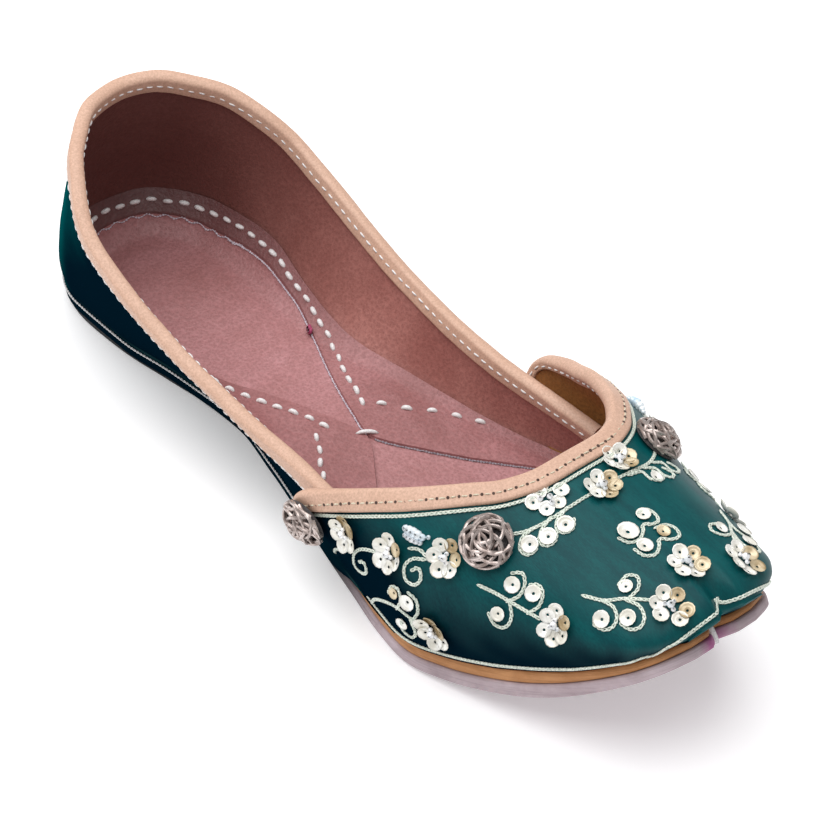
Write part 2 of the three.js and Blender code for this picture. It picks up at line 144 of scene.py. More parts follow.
def smooth(low, high, x):
    k = np.clip((np.asarray(x, float) - low) / (high - low), 0, 1)
    return k * k * (3 - 2 * k)


def mix(a, b, k):
    return a + (b - a) * k


def stack(s, w, z):
    return np.stack(np.broadcast_arrays(s, w, z), -1).astype(float)


def unit(v):
    return v / np.maximum(np.linalg.norm(v, axis=-1, keepdims=True), 1e-12)


def side_of(t):
    return np.where(np.asarray(t) < 0, -1.0, 1.0)


def full(value, like):
    return np.full(np.shape(like), float(value))


def length_along(path):
    """How far along a polyline each of its points lies."""
    return np.concatenate([[0], np.cumsum(np.linalg.norm(np.diff(path, axis=0), axis=1))])


def even_steps(run, pitch):
    """Places about pitch apart that fill a run from end to end."""
    return np.linspace(0, run[-1], max(2, int(round(run[-1] / pitch)) + 1))


def columns_at(at, run, values):
    return np.stack([np.interp(at, run, values[:, c]) for c in range(values.shape[1])], -1)


def ripple(p, wave, seed):
    """Smooth pseudo-random field, mostly between -1 and 1, with bumps about wave mm wide."""
    rng = np.random.default_rng(SEED + seed)
    total = np.zeros(p.shape[:-1])
    waves = 6
    for _ in range(waves):
        turn = unit(rng.normal(size=3)) * rng.uniform(0.7, 1.4) * 2 * math.pi / wave
        total += np.sin(p @ turn + rng.uniform(0, 2 * math.pi))
    return total / waves ** 0.5 / 1.2


# ---------------------------------------------------------------- form of the last
sole_half = through(SOLE, 1)
FOOT_S, FOOT_W, TOP_S, TOP_W, TOP_Z, Q_BELLY = (through(QUARTER, c, c in (1, 3, 5, 6)) for c in range(1, 7))
RIDGE_S, RIDGE_Z, V_BELLY, SQUARE = (through(VAMP, c) for c in range(1, 5))
throat_s = through(THROAT, 1, True)
# steps for slopes of the form, and how near the sole's line they are still taken
S_STEP, AROUND_STEP, ROW_STEP, AROUND_MOST = 0.4, 0.004, 0.02, 0.995


def rise(s):
    """Height of the sole's underside over the ground."""
    toe = np.maximum(0, (s - TOE_START) / (LENGTH - TOE_START))
    arch = np.clip((s - ARCH_FROM) / (ARCH_TO - ARCH_FROM), 0, 1)
    return TOE_RISE * toe * toe + ARCH_RISE * np.sin(math.pi * arch) ** 2


def notch_at(s, w):
    """How far the toe is drawn back between its two lobes."""
    return NOTCH * (1 - smooth(0, NOTCH_HALF, np.abs(w))) * smooth(LENGTH - NOTCH_LONG, LENGTH, s)


def tilt_at(s):
    return np.arctan2(rise(s + 0.5) - rise(s - 0.5), 1)


def on_sole(s, w, h):
    """Point h above the sole's underside, measured square to it."""
    tilt = tilt_at(s)
    notch = notch_at(s, w)
    return stack(s - notch - h * np.sin(tilt), w, rise(s - notch) + h * np.cos(tilt))


def quarter_outer(t, v):
    """Outside of the quarters: t is a row of the table, below 0 on the left; v is 0 at the foot."""
    k, side = np.abs(t), side_of(t)
    foot = on_sole(FOOT_S(k), FOOT_W(k), SEAT)
    lean = Q_BELLY(k) * np.sin(math.pi * np.clip(v, 0, 1) ** BELLY_LOW)
    back = 1 - smooth(1.2, 3.2, k)
    return stack(mix(foot[..., 0], TOP_S(k), v) - lean * back,
                 side * (mix(foot[..., 1], TOP_W(k), v) + lean * (1 - back)),
                 mix(foot[..., 2], TOP_Z(k), v))


def vamp_outer(s, around):
    """Outside of the vamp: around is 0 on the ridge, 1 and -1 at the sole."""
    angle = np.abs(around) * math.pi / 2
    high = np.maximum(0, np.cos(angle)) ** SQUARE(s)
    half = np.sin(angle) ** SQUARE(s) * (sole_half(s) + V_BELLY(s) * np.sin(math.pi * high))
    foot = on_sole(s, half, SEAT)
    notch = notch_at(s, half)
    return stack(mix(foot[..., 0], RIDGE_S(s) - notch, high), np.sign(around) * half,
                 mix(foot[..., 2], RIDGE_Z(s) - notch, high))


def vamp_ways(s, around):
    """Rates of change of the vamp along s and around it."""
    a = np.clip(around, -AROUND_MOST, AROUND_MOST)
    by_s = (vamp_outer(s + S_STEP, a) - vamp_outer(s - S_STEP, a)) / (2 * S_STEP)
    by_a = (vamp_outer(s, a + AROUND_STEP) - vamp_outer(s, a - AROUND_STEP)) / (2 * AROUND_STEP)
    return by_s, by_a


def vamp_normal(s, around):
    return unit(np.cross(*vamp_ways(np.minimum(s, LENGTH - 1), around)))


def quarter_normal(t, v):
    t = np.clip(t, -QUARTER_END + ROW_STEP, QUARTER_END - ROW_STEP)
    v = np.clip(v, ROW_STEP, 1 - ROW_STEP)
    along = quarter_outer(t + ROW_STEP, v) - quarter_outer(t - ROW_STEP, v)
    up = quarter_outer(t, v + ROW_STEP) - quarter_outer(t, v - ROW_STEP)
    return unit(np.cross(up, along))


WALK_STEPS = 4


def walk(s, around, heading, distance):
    """Moves over the vamp from (s, around), keeping to a direction given in space."""
    s, around = np.array(s, float), np.array(around, float)
    for _ in range(WALK_STEPS):
        by_s, by_a = vamp_ways(s, around)
        n = unit(np.cross(by_s, by_a))
        way = unit(heading - n * (heading * n).sum(-1, keepdims=True))
        e, f, g = (by_s * by_s).sum(-1), (by_s * by_a).sum(-1), (by_a * by_a).sum(-1)
        p, q = (way * by_s).sum(-1), (way * by_a).sum(-1)
        det = e * g - f * f
        s = s + distance / WALK_STEPS * (g * p - f * q) / det
        around = around + distance / WALK_STEPS * (e * q - f * p) / det
    return s, around


def over_vamp(s, around, height):
    """Point at a height over the vamp's even surface."""
    return vamp_outer(s, around) + vamp_normal(s, around) * np.asarray(height)[..., None]


# ---------------------------------------------------------------- making meshes
PLY_SHARE = 0.62  # a ply's radius, as a share of its cord's
sole_low, sole_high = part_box("outsole")
CENTRE_X = (sole_low.x + sole_high.x) / 2
HEEL_Y = sole_high.y


def place(p):
    p = np.asarray(p, float)
    return np.stack([CENTRE_X - p[..., 1] * MM, HEEL_Y - p[..., 0] * MM, p[..., 2] * MM], -1)


def piece(name, points, faces, finishes, slot=None, face_finish=None, sharp=50):
    """A closed mesh from shoe points, turned so that its faces point outwards."""
    co = place(points).reshape(-1, 3)
    tri = np.array([(f[0], f[i], f[i + 1]) for f in faces for i in range(1, len(f) - 1)])
    a, b, c = co[tri[:, 0]], co[tri[:, 1]], co[tri[:, 2]]
    if (a * np.cross(b, c)).sum() < 0:
        faces = [tuple(reversed(f)) for f in faces]
    mesh = bpy.data.meshes.new(name)
    mesh.from_pydata(co.tolist(), [], [tuple(map(int, f)) for f in faces])
    for finish in finishes if isinstance(finishes, (list, tuple)) else [finishes]:
        mesh.materials.append(finish)
    if face_finish is not None:
        mesh.polygons.foreach_set("material_index", np.asarray(face_finish, np.int32))
    mesh.polygons.foreach_set("use_smooth", np.ones(len(mesh.polygons), bool))
    mesh.set_sharp_from_angle(angle=math.radians(sharp))
    mesh.update()
    obj = bpy.data.objects.new(name, mesh)
    bpy.context.scene.collection.objects.link(obj)
    return obj


def grid_faces(rows, cols, start=0, wrap=False, flip=False):
    i, j = np.meshgrid(np.arange(rows - 1), np.arange(cols if wrap else cols - 1), indexing="ij")
    a = start + i * cols + j
    b = start + i * cols + (j + 1) % cols
    quads = np.stack([a, a + cols, b + cols, b], -1).reshape(-1, 4)
    return [tuple(q) for q in (quads[:, ::-1] if flip else quads)]


def sheet_shell(outer, inner):
    """Closed wall between two grids of the same size; returns points, faces and their kind."""
    rows, cols = outer.shape[:2]
    n = rows * cols
    faces = grid_faces(rows, cols) + grid_faces(rows, cols, n, flip=True)
    kind = [0] * ((rows - 1) * (cols - 1)) + [1] * ((rows - 1) * (cols - 1))
    for i in range(rows - 1):
        a, b = i * cols, (i + 1) * cols
        faces.append((a, n + a, n + b, b))
        a, b = a + cols - 1, b + cols - 1
        faces.append((a, b, n + b, n + a))
    for j in range(cols - 1):
        faces.append((j, j + 1, n + j + 1, n + j))
        a = (rows - 1) * cols + j
        faces.append((a, n + a, n + a + 1, a + 1))
    kind += [1] * (len(faces) - len(kind))
    return np.concatenate([outer.reshape(-1, 3), inner.reshape(-1, 3)]), faces, kind


def sweep(sections):
    """Closed outline moved along stations, capped at both ends."""
    rows, cols = sections.shape[:2]
    faces = grid_faces(rows, cols, wrap=True)
    faces += [tuple(range(cols)), tuple(reversed(range((rows - 1) * cols, rows * cols)))]
    return sections.reshape(-1, 3), faces


def resample(points, step):
    """Evenly spaced points on a polyline."""
    run = length_along(points)
    return columns_at(even_steps(run, step), run, points)


def spline(points, count):
    """Smooth curve through a few points, in any number of coordinates."""
    p = np.asarray(points, float)
    run = np.concatenate([[0], np.cumsum(np.maximum(np.linalg.norm(np.diff(p, axis=0), axis=1), 1e-9))])
    at = np.linspace(0, run[-1], count)
    m = np.gradient(p, run, axis=0)
    i = np.clip(np.searchsorted(run, at, side="right") - 1, 0, len(run) - 2)
    h = (run[i + 1] - run[i])[:, None]
    k = (at[:, None] - run[i][:, None]) / h
    return ((2 * k**3 - 3 * k**2 + 1) * p[i] + (k**3 - 2 * k**2 + k) * h * m[i]
            + (3 * k**2 - 2 * k**3) * p[i + 1] + (k**3 - k**2) * h * m[i + 1])


def merge(parts):
    """Joins several (points, faces) pairs into one."""
    points, faces, start = [], [], 0
    for p, f in parts:
        p = np.asarray(p).reshape(-1, 3)
        points.append(p)
        faces += [tuple(i + start for i in face) for face in f]
        start += len(p)
    return np.concatenate(points), faces


def full_turn(count):
    return np.linspace(0, 2 * math.pi, count, endpoint=False)


def rings_round(path, across, up, radius, sides):
    """A ring of points round each point of a path."""
    angle = full_turn(sides)[None, :, None]
    ring = across[:, None] * np.cos(angle) + up[:, None] * np.sin(angle)
    return path[:, None] + ring * np.broadcast_to(radius, (len(path),))[:, None, None]


def path_ways(path, normals):
    """Across and up at each point of a path."""
    along = unit(np.gradient(path, axis=0))
    across = unit(np.cross(along, normals))
    return across, np.cross(across, along)


def tube(path, normals, radius, sides, flat=1.0):
    """Round or flattened tube along a path; normals say which way its height points."""
    across, up = path_ways(path, normals)
    return sweep(rings_round(path, across, up * flat, radius, sides))


def two_ply(path, normals, radius, pitch):
    """Two strands laid round each other along a path."""
    across, up = path_ways(path, normals)
    strand = PLY_SHARE * radius
    made = []
    for k in range(2):
        turn = 2 * math.pi * (length_along(path) / pitch + k / 2)
        side = across * np.cos(turn)[:, None] + up * np.sin(turn)[:, None]
        made.append(tube(path + side * strand, side, strand, 5))
    return merge(made)


# ---------------------------------------------------------------- finishes
def group_tree(name, inputs, outputs):
    tree = bpy.data.node_groups.new(name, "ShaderNodeTree")
    for label, value in inputs:
        socket = tree.interface.new_socket(label, in_out="INPUT", socket_type="NodeSocketFloat")
        socket.default_value = value
    for label in outputs:
        tree.interface.new_socket(label, in_out="OUTPUT", socket_type="NodeSocketFloat")
    return tree, tree.nodes.new("NodeGroupInput").outputs, tree.nodes.new("NodeGroupOutput")


def add_node(tree, kind, feeds=(), **settings):
    """A node with settings; feeds maps its inputs to sockets or values."""
    node = tree.nodes.new(kind)
    for key, value in settings.items():
        setattr(node, key, value)
    for key, value in dict(feeds).items():
        if isinstance(value, bpy.types.NodeSocket):
            tree.links.new(value, node.inputs[key])
        else:
            node.inputs[key].default_value = value
    return node


def feed(tree, node, **sockets):
    for key, socket in sockets.items():
        tree.links.new(socket, node.inputs[key.replace("_", " ")])


def maths(tree, operation, a, b=0.0):
    return add_node(tree, "ShaderNodeMath", {0: a, 1: b}, operation=operation).outputs[0]


def plus(tree, a, b):
    return maths(tree, "ADD", a, b)


def minus(tree, a, b):
    return maths(tree, "SUBTRACT", a, b)


def times(tree, a, b):
    return maths(tree, "MULTIPLY", a, b)


def own_place(tree):
    return add_node(tree, "ShaderNodeTexCoord").outputs["Object"]


def parted(tree, vector):
    return add_node(tree, "ShaderNodeSeparateXYZ", {"Vector": vector}).outputs


def scaled_place(tree, scale, stretch=(1, 1, 1)):
    """Object coordinates in units of 1 / scale metres."""
    mapped = add_node(tree, "ShaderNodeMapping", {"Vector": own_place(tree), "Scale": stretch})
    return add_node(tree, "ShaderNodeVectorMath", {0: mapped.outputs[0], "Scale": scale},
                    operation="SCALE").outputs[0]


def noise(tree, at, detail, scale=1.0, **values):
    feeds = {"Vector": at, "Scale": scale, "Detail": detail, **values}
    return add_node(tree, "ShaderNodeTexNoise", feeds).outputs


def leather_grain():
    """Small pebbled cells crossed by finer creases."""
    tree, given, made = group_tree("leather_grain", [("Scale", 900.0), ("Creases", 0.4)],
                                   ["Height", "Tone"])
    at = scaled_place(tree, given["Scale"])
    bend = noise(tree, at, 2.0, 0.7)["Color"]
    warped = add_node(tree, "ShaderNodeVectorMath", {0: at, 1: bend}, operation="ADD").outputs[0]
    cells = add_node(tree, "ShaderNodeTexVoronoi", {"Vector": warped, "Scale": 1.0},
                     feature="SMOOTH_F1").outputs["Distance"]
    fine = noise(tree, at, 5.0, 2.6, Roughness=0.6)["Fac"]
    large = noise(tree, at, 4.0, 0.16, Distortion=1.4)["Fac"]
    creased = times(tree, minus(tree, large, 0.5), given["Creases"])
    height = plus(tree, times(tree, cells, -0.55), times(tree, fine, 0.45))
    tone = plus(tree, times(tree, fine, 0.5), times(tree, cells, 0.4))
    feed(tree, made, Height=plus(tree, height, creased), Tone=tone)
    return tree


def soft_mottle():
    """Broad uneven patches, as from handling and dye."""
    tree, given, made = group_tree("soft_mottle", [("Scale", 40.0), ("Contrast", 1.0)], ["Mask"])
    cloud = noise(tree, scaled_place(tree, given["Scale"]), 5.0, Roughness=0.62, Distortion=0.5)["Fac"]
    spread = times(tree, minus(tree, cloud, 0.5), given["Contrast"])
    feed(tree, made, Mask=add_node(tree, "ShaderNodeClamp", {"Value": plus(tree, spread, 0.5)}).outputs[0])
    return tree


def satin_weave():
    """Long floats of a satin weave with a few pulled threads."""
    tree, given, made = group_tree("satin_weave", [("Scale", 1.0)], ["Height", "Streak"])

    def threads(stretch, detail):
        return noise(tree, scaled_place(tree, given["Scale"], stretch), detail)["Fac"]

    floats = threads((5200, 900, 900), 2.0)
    slub = threads((420, 60, 60), 3.0)
    cross = threads((700, 4200, 4200), 1.0)
    feed(tree, made, Height=plus(tree, times(tree, floats, 0.6), times(tree, cross, 0.4)),
         Streak=plus(tree, times(tree, floats, 0.45), times(tree, slub, 0.55)))
    return tree


GRAIN, MOTTLE, WEAVE = leather_grain(), soft_mottle(), satin_weave()


def new_finish(name, **uniform):
    material = bpy.data.materials.new(name)
    material.use_nodes = True
    shader = material.node_tree.nodes["Principled BSDF"]
    for key, value in uniform.items():
        shader.inputs[key.replace("_", " ")].default_value = value
    return material, material.node_tree, shader


def use_group(tree, group, **values):
    node = tree.nodes.new("ShaderNodeGroup")
    node.node_tree = group
    for key, value in values.items():
        node.inputs[key].default_value = value
    return node.outputs


def blend_colour(tree, factor, a, b):
    node = add_node(tree, "ShaderNodeMix", data_type="RGBA")
    for index, value in ((0, factor), (6, a), (7, b)):
        if isinstance(value, bpy.types.NodeSocket):
            tree.links.new(value, node.inputs[index])
        else:
            node.inputs[index].default_value = (*value, 1)
    return node.outputs[2]


def spread_value(tree, value, low, high, from_low, from_high, kind="LINEAR"):
    """Takes from_low to low and from_high to high, and stops there."""
    feeds = {"Value": value, "From Min": from_low, "From Max": from_high, "To Min": low, "To Max": high}
    return add_node(tree, "ShaderNodeMapRange", feeds, interpolation_type=kind).outputs[0]


def bump(tree, shader, height, depth, strength=1.0):
    node = add_node(tree, "ShaderNodeBump", {"Height": height, "Distance": depth, "Strength": strength})
    tree.links.new(node.outputs[0], shader.inputs["Normal"])


def from_heel(distance):
    """Y of the frame at a distance in mm from the heel."""
    return HEEL_Y - distance * MM


# hollows of the leather, and the painted shade near the heel, as shares of its dark tone
HOLLOW_SHADE, HEEL_PAINTED_SHADE_SHARE = 0.62, 0.3
# navy painted shade for the satin's upright sides
NAVY_PAINTED_SHADE = (0.0006, 0.0075, 0.015)
TEAL_DARK, TEAL_LIGHT, TEAL_THREAD = (0.0004, 0.036, 0.046), (0.0005, 0.072, 0.076), (0.0008, 0.098, 0.100)
# near-black painted shade for the sole's edge under the quarters
SOLE_PAINTED_SHADE = (0.012, 0.012, 0.014)
MAGENTA_STAIN = (0.36, 0.08, 0.24)


def shade(colour, share):
    return tuple(share * c for c in colour)


def leather(name, dark, light, scale, depth, roughness, patches, contrast, creases, painted_heel_shade=0.0,
            **uniform):
    """Grained leather in two tones, darkened towards the heel by painted shade as strong as the given heel
    share.
    """
    material, tree, shader = new_finish(name, **uniform)
    grain = use_group(tree, GRAIN, Scale=scale, Creases=creases)
    patch = use_group(tree, MOTTLE, Scale=patches, Contrast=contrast)["Mask"]
    hollow = spread_value(tree, grain["Tone"], 0.5, 0.0, 0.3, 0.55)
    colour = blend_colour(tree, hollow, blend_colour(tree, patch, dark, light), shade(dark, HOLLOW_SHADE))
    # painted shade: darker towards the heel, where the inside of the shoe gets less light
    if painted_heel_shade:
        heel_painted_shade_mask = spread_value(tree, parted(tree, own_place(tree))["Y"], 0, painted_heel_shade,
                                 from_heel(90), from_heel(12))
        colour = blend_colour(tree, heel_painted_shade_mask, colour, shade(dark, HEEL_PAINTED_SHADE_SHARE))
    feed(tree, shader, Base_Color=colour,
         Roughness=spread_value(tree, grain["Tone"], roughness + 0.1, roughness - 0.06, 0.3, 0.7))
    bump(tree, shader, grain["Height"], depth)
    return material


def satin_finish():
    """Teal satin with painted light and shade: lit teal where it faces up, towards the toe or towards the
    heel, navy painted shade where it stands upright on the sides, and a gloss coat only on the lit faces as
    painted sheen.
    """
    material, tree, shader = new_finish("teal_satin", Roughness=0.5, Specular_IOR_Level=0.0, Coat_IOR=1.28,
                                        Coat_Roughness=0.42)
    weave = use_group(tree, WEAVE, Scale=1.0)
    patch = use_group(tree, MOTTLE, Scale=26.0, Contrast=1.8)["Mask"]
    streak = spread_value(tree, weave["Streak"], 0.0, 0.55, 0.42, 0.62)
    teal = blend_colour(tree, streak, blend_colour(tree, patch, TEAL_DARK, TEAL_LIGHT), TEAL_THREAD)
    # painted light and shade from the surface's own normal: faces turned up, to the toe or to the heel get
    # lit teal, upright sides get navy
    x, y, z = parted(tree, add_node(tree, "ShaderNodeTexCoord").outputs["Normal"])
    painted_side_shade = times(tree, maths(tree, "ABSOLUTE", x), -0.2)
    lean = plus(tree, times(tree, z, 0.75), plus(tree, times(tree, y, -0.6), painted_side_shade))
    flat = spread_value(tree, lean, 0, 1, -0.16, 0.42, "SMOOTHSTEP")
    back = spread_value(tree, y, 0, 0.9, 0.2, 0.62, "SMOOTHSTEP")
    painted_light = add_node(tree, "ShaderNodeClamp", {"Value": plus(tree, flat, back)}).outputs[0]
    feed(tree, shader, Base_Color=blend_colour(tree, painted_light, NAVY_PAINTED_SHADE, teal),
         Coat_Weight=spread_value(tree, flat, 0.0, 0.85, 0, 1))
    bump(tree, shader, weave["Height"], 0.00009, 0.7)
    return material


def thread_finish(name, dark, light, roughness=0.6, metallic=0.0, pitch=2600.0):
    """Spun thread, cord or wire, with a fine uneven surface."""
    material, tree, shader = new_finish(name, Sheen_Weight=0.15, Metallic=metallic)
    spun = noise(tree, scaled_place(tree, pitch), 3.0)["Fac"]
    feed(tree, shader,
         Base_Color=blend_colour(tree, spread_value(tree, spun, 0, 1, 0.35, 0.62), dark, light),
         Roughness=spread_value(tree, spun, roughness + 0.12, roughness - 0.1, 0.3, 0.7))
    bump(tree, shader, spun, 0.00006)
    return material


def sequin_finish(name, dark, light):
    """Pressed film with a shimmer that changes from one sequin to the next."""
    material, tree, shader = new_finish(name, Metallic=0.15, Coat_Weight=0.5, Coat_Roughness=0.12)
    shimmer = noise(tree, scaled_place(tree, 260), 1.0)["Fac"]
    feed(tree, shader,
         Base_Color=blend_colour(tree, spread_value(tree, shimmer, 0, 1, 0.4, 0.6), dark, light),
         Roughness=spread_value(tree, shimmer, 0.38, 0.22, 0.3, 0.7))
    return material


def sole_finish(name, dark, light, ply, roughness, stain=0.0):
    """Cut edge of pressed leather: thin plies that follow the turned-up sole, painted black from the heel
    to the waist as shade under the quarters.
    """
    material, tree, shader = new_finish(name, Specular_IOR_Level=0.3)
    x, y, z = parted(tree, own_place(tree))
    turned_up = maths(tree, "MAXIMUM", minus(tree, from_heel(TOE_START), y), 0.0)
    climb = times(tree, times(tree, turned_up, turned_up), TOE_RISE / ((LENGTH - TOE_START) ** 2 * MM))
    stacked = add_node(tree, "ShaderNodeCombineXYZ", {
        "X": times(tree, x, 50.0), "Y": times(tree, y, 50.0), "Z": times(tree, minus(tree, z, climb), ply)})
    plies = noise(tree, stacked.outputs[0], 5.0, Roughness=0.7)["Fac"]
    patch = use_group(tree, MOTTLE, Scale=70.0, Contrast=2.2)["Mask"]
    grain = use_group(tree, GRAIN, Scale=1500.0, Creases=0.2)
    between = spread_value(tree, plies, 0.0, 0.5, 0.48, 0.72)
    colour = blend_colour(tree, between, blend_colour(tree, patch, dark, light), shade(dark, HOLLOW_SHADE))
    if stain:
        spot = Vector(place(on_sole(LENGTH, 3.0, 3.0)).tolist())
        away = add_node(tree, "ShaderNodeVectorMath", {0: own_place(tree), 1: spot}, operation="DISTANCE")
        blot = plus(tree, away.outputs["Value"], times(tree, patch, 5 * MM))
        stained = spread_value(tree, blot, stain, 0, 4 * MM, 10 * MM)
        colour = blend_colour(tree, stained, colour, MAGENTA_STAIN)
    # painted shade: the edge turns black from the waist back to the heel, under the overhanging quarters
    shade_under_quarters = spread_value(tree, y, 0, 1, from_heel(168), from_heel(142))
    feed(tree, shader, Base_Color=blend_colour(tree, shade_under_quarters, colour, SOLE_PAINTED_SHADE),
         Roughness=spread_value(tree, plies, roughness - 0.1, roughness + 0.1, 0.3, 0.7))
    bump(tree, shader, plus(tree, plies, times(tree, grain["Height"], 0.3)), 0.00016)
    return material


SATIN = satin_finish()
TAN = leather("tan_binding", (0.59, 0.355, 0.25), (0.74, 0.49, 0.37), 1900, 0.00004, 0.48,
              patches=45, contrast=1.1, creases=0.3, Specular_IOR_Level=0.45)
LINING = leather("brown_lining", (0.29, 0.095, 0.08), (0.48, 0.21, 0.18), 1100, 0.00016, 0.42,
                 patches=24, contrast=2.2, creases=0.7, painted_heel_shade=0.8, Specular_IOR_Level=0.3)
VAMP_LINING = leather("ochre_lining", (0.26, 0.10, 0.028), (0.44, 0.19, 0.06), 1100, 0.00016, 0.5,
                      patches=30, contrast=1.8, creases=0.7, Specular_IOR_Level=0.35)
FOOT_BED = leather("brown_foot_bed", (0.32, 0.125, 0.118), (0.53, 0.255, 0.27), 1150, 0.00026, 0.42,
                   patches=24, contrast=1.8, creases=0.8, Specular_IOR_Level=0.5)
TURNED_LINING = leather("turned_lining", (0.25, 0.088, 0.084), (0.44, 0.195, 0.2), 1150, 0.00022, 0.4,
                        patches=30, contrast=1.8, creases=0.9, painted_heel_shade=0.8, Specular_IOR_Level=0.45)
MIDSOLE_EDGE = sole_finish("tan_midsole", (0.34, 0.14, 0.045), (0.56, 0.27, 0.11), 1500, 0.6)
OUTSOLE_EDGE = sole_finish("pale_outsole", (0.33, 0.25, 0.27), (0.55, 0.45, 0.485), 1300, 0.66, stain=0.85)
WHITE_THREAD = thread_finish("white_thread", (0.62, 0.60, 0.60), (0.86, 0.84, 0.84))
CREAM_CORD = thread_finish("cream_cord", (0.42, 0.50, 0.42), (0.86, 0.89, 0.80), 0.42, 0.15)
BROWN_THREAD = thread_finish("brown_thread", (0.46, 0.38, 0.26), (0.76, 0.68, 0.54))
# dark discs set in the stitch holes: painted shade for the holes' depth
HOLE_PAINTED_SHADE = thread_finish("stitch_hole_painted_shade", (0.045, 0.022, 0.014), (0.10, 0.055, 0.04), 0.8)
SEQUIN_CREAM = sequin_finish("sequin_cream", (0.80, 0.77, 0.68), (0.95, 0.94, 0.89))
# tan sequins, and painted shade for flower petals turned from the light
SEQUIN_GOLD_AND_SHADED = sequin_finish("sequin_gold_and_painted_shade", (0.40, 0.29, 0.15), (0.74, 0.62, 0.42))
BEAD_WHITE = sequin_finish("bead_white", (0.78, 0.82, 0.86), (0.95, 0.95, 0.97))
BEAD_BLUE = sequin_finish("bead_blue", (0.50, 0.66, 0.80), (0.86, 0.92, 0.96))
WIRE = thread_finish("bullion_wire", (0.24, 0.185, 0.165), (0.55, 0.47, 0.44), 0.3, 0.8, 420.0)
# near-black painted shade, seen in the gaps between a knot's strands
KNOT_PAINTED_SHADE = thread_finish("knot_gap_painted_shade", (0.02, 0.018, 0.02), (0.07, 0.06, 0.06), 0.7)
LAVENDER = thread_finish("lavender_thread", (0.50, 0.44, 0.52), (0.74, 0.68, 0.74))
MAGENTA = thread_finish("magenta_thread", (0.20, 0.015, 0.06), (0.42, 0.05, 0.14))


# ---------------------------------------------------------------- sole
def stations(count):
    """Rows along the shoe, closer together at both ends."""
    u = np.linspace(0, 1, count)
    return LENGTH * (0.5 * u + 0.25 * (1 - np.cos(math.pi * u)))


def slab(profile, rows, cross):
    """Layer of the sole from (height, inset) rows up its edge, closed above and below."""
    def level(height, inset):
        s = inset + rows * (LENGTH - 2 * inset) / LENGTH
        half = np.maximum(sole_half(rows) - inset, 0.5)
        return on_sole(s[:, None], half[:, None] * cross[None, :], height)

    n, m = len(rows), len(cross)
    index = np.arange(n * m).reshape(n, m)
    rim = np.concatenate([index[:-1, 0], index[-1, :-1], index[:0:-1, -1], index[0, :0:-1]])
    points = [level(*profile[0]).reshape(-1, 3)]
    rings = [rim]
    for height, inset in profile[1:-1]:
        start = sum(map(len, points))
        points.append(level(height, inset).reshape(-1, 3)[rim])
        rings.append(start + np.arange(len(rim)))
    start = sum(map(len, points))
    points.append(level(*profile[-1]).reshape(-1, 3))
    rings.append(start + rim)
    faces = grid_faces(n, m) + grid_faces(n, m, start, flip=True)
    for low, high in zip(rings, rings[1:]):
        a, b = np.roll(low, -1), np.roll(high, -1)
        faces += [tuple(f) for f in np.stack([low, high, b, a], -1)]
    return np.concatenate(points), faces


SOLE_ROWS = stations(170)
HALF_ACROSS = np.array([1, 0.93, 0.8, 0.62, 0.42, 0.26, 0.13])
ACROSS = np.concatenate([HALF_ACROSS, [0], -HALF_ACROSS[::-1]])
# a sole's rounded edge: share of its height, how far in
SOLE_EDGE = [(0, 0.9), (0.06, 0.35), (0.16, 0.08), (0.5, 0), (0.84, 0.05), (0.94, 0.25), (1, 0.7)]
# the midsole lies this far in, bulges this much at mid height, and is this close to its neighbours
MIDSOLE_INSET, MIDSOLE_BULGE, SOLE_SEAM = 0.3, 0.12, 0.05


def sole_layer(name, low, high, inset, finish, bulge=0.0):
    """One sole; low and high are each a height and how much it comes up at the tip."""
    thin = smooth(TOE_THIN_FROM, LENGTH, SOLE_ROWS)[:, None]
    base, top = (level[0] + level[1] * thin for level in (low, high))
    profile = [(mix(base, top, k), inset + back - bulge * (k == 0.5)) for k, back in SOLE_EDGE]
    return piece(f"{name}_leather", *slab(profile, SOLE_ROWS, ACROSS), finish, slot=name, sharp=80)


outsole = sole_layer("outsole", (0, TOE_THIN), (OUTSOLE, TOE_PLY), 0, OUTSOLE_EDGE)
midsole = sole_layer("midsole", (OUTSOLE + SOLE_SEAM, TOE_PLY), (SEAT - SOLE_SEAM, 0), MIDSOLE_INSET,
                     MIDSOLE_EDGE, MIDSOLE_BULGE)


# ---------------------------------------------------------------- upper
def spread_around(count):
    """Values of around from -1 to 1, closer together at the ridge."""
    u = np.linspace(-1, 1, count)
    return np.sign(u) * np.abs(u) ** 1.25


def even_around(count, s=205.0, high=1.0):
    """Values of around that are evenly spaced over the vamp."""
    a = spread_around(4001)
    a = a[np.abs(a) <= high]
    run = length_along(vamp_outer(s, a))
    return np.interp(np.linspace(0, run[-1], count), run, a)


RELIEF_FROM_THROAT = 6.0


def satin_relief(p):
    """Small rises and falls of cloth over the leather, in mm."""
    return 0.16 * ripple(p, 34, 1) + 0.06 * ripple(p, 13, 2)


def on_vamp(s, around, height=0.0):
    """Point over the vamp's satin, which lies flat along the throat."""
    p = vamp_outer(s, around)
    relief = satin_relief(p) * smooth(0, RELIEF_FROM_THROAT, s - throat_s(np.abs(around)))
    return p + vamp_normal(s, around) * (relief + height)[..., None]


# rows of the vamp from the throat (0) to the tip (1), closer together over the toe
VAMP_ROWS = np.concatenate([np.linspace(0, 0.86, 84), np.linspace(0.875, 1, 18)])[:, None]
# rows that close the tip, and how far they bulge
NOSE_ROWS, NOSE_BULGE = 6, np.array([0.9, 0, 0.5])
# the last row, tucked over the midsole: how far back, how narrow and how deep it lies
TUCK_BACK, TUCK_SHARE, TUCK_LOW = 3.0, 0.9, 0.03
# around, where the lining's thickness turns to lie along the sole
LINING_UPRIGHT = (0.87, 0.97)


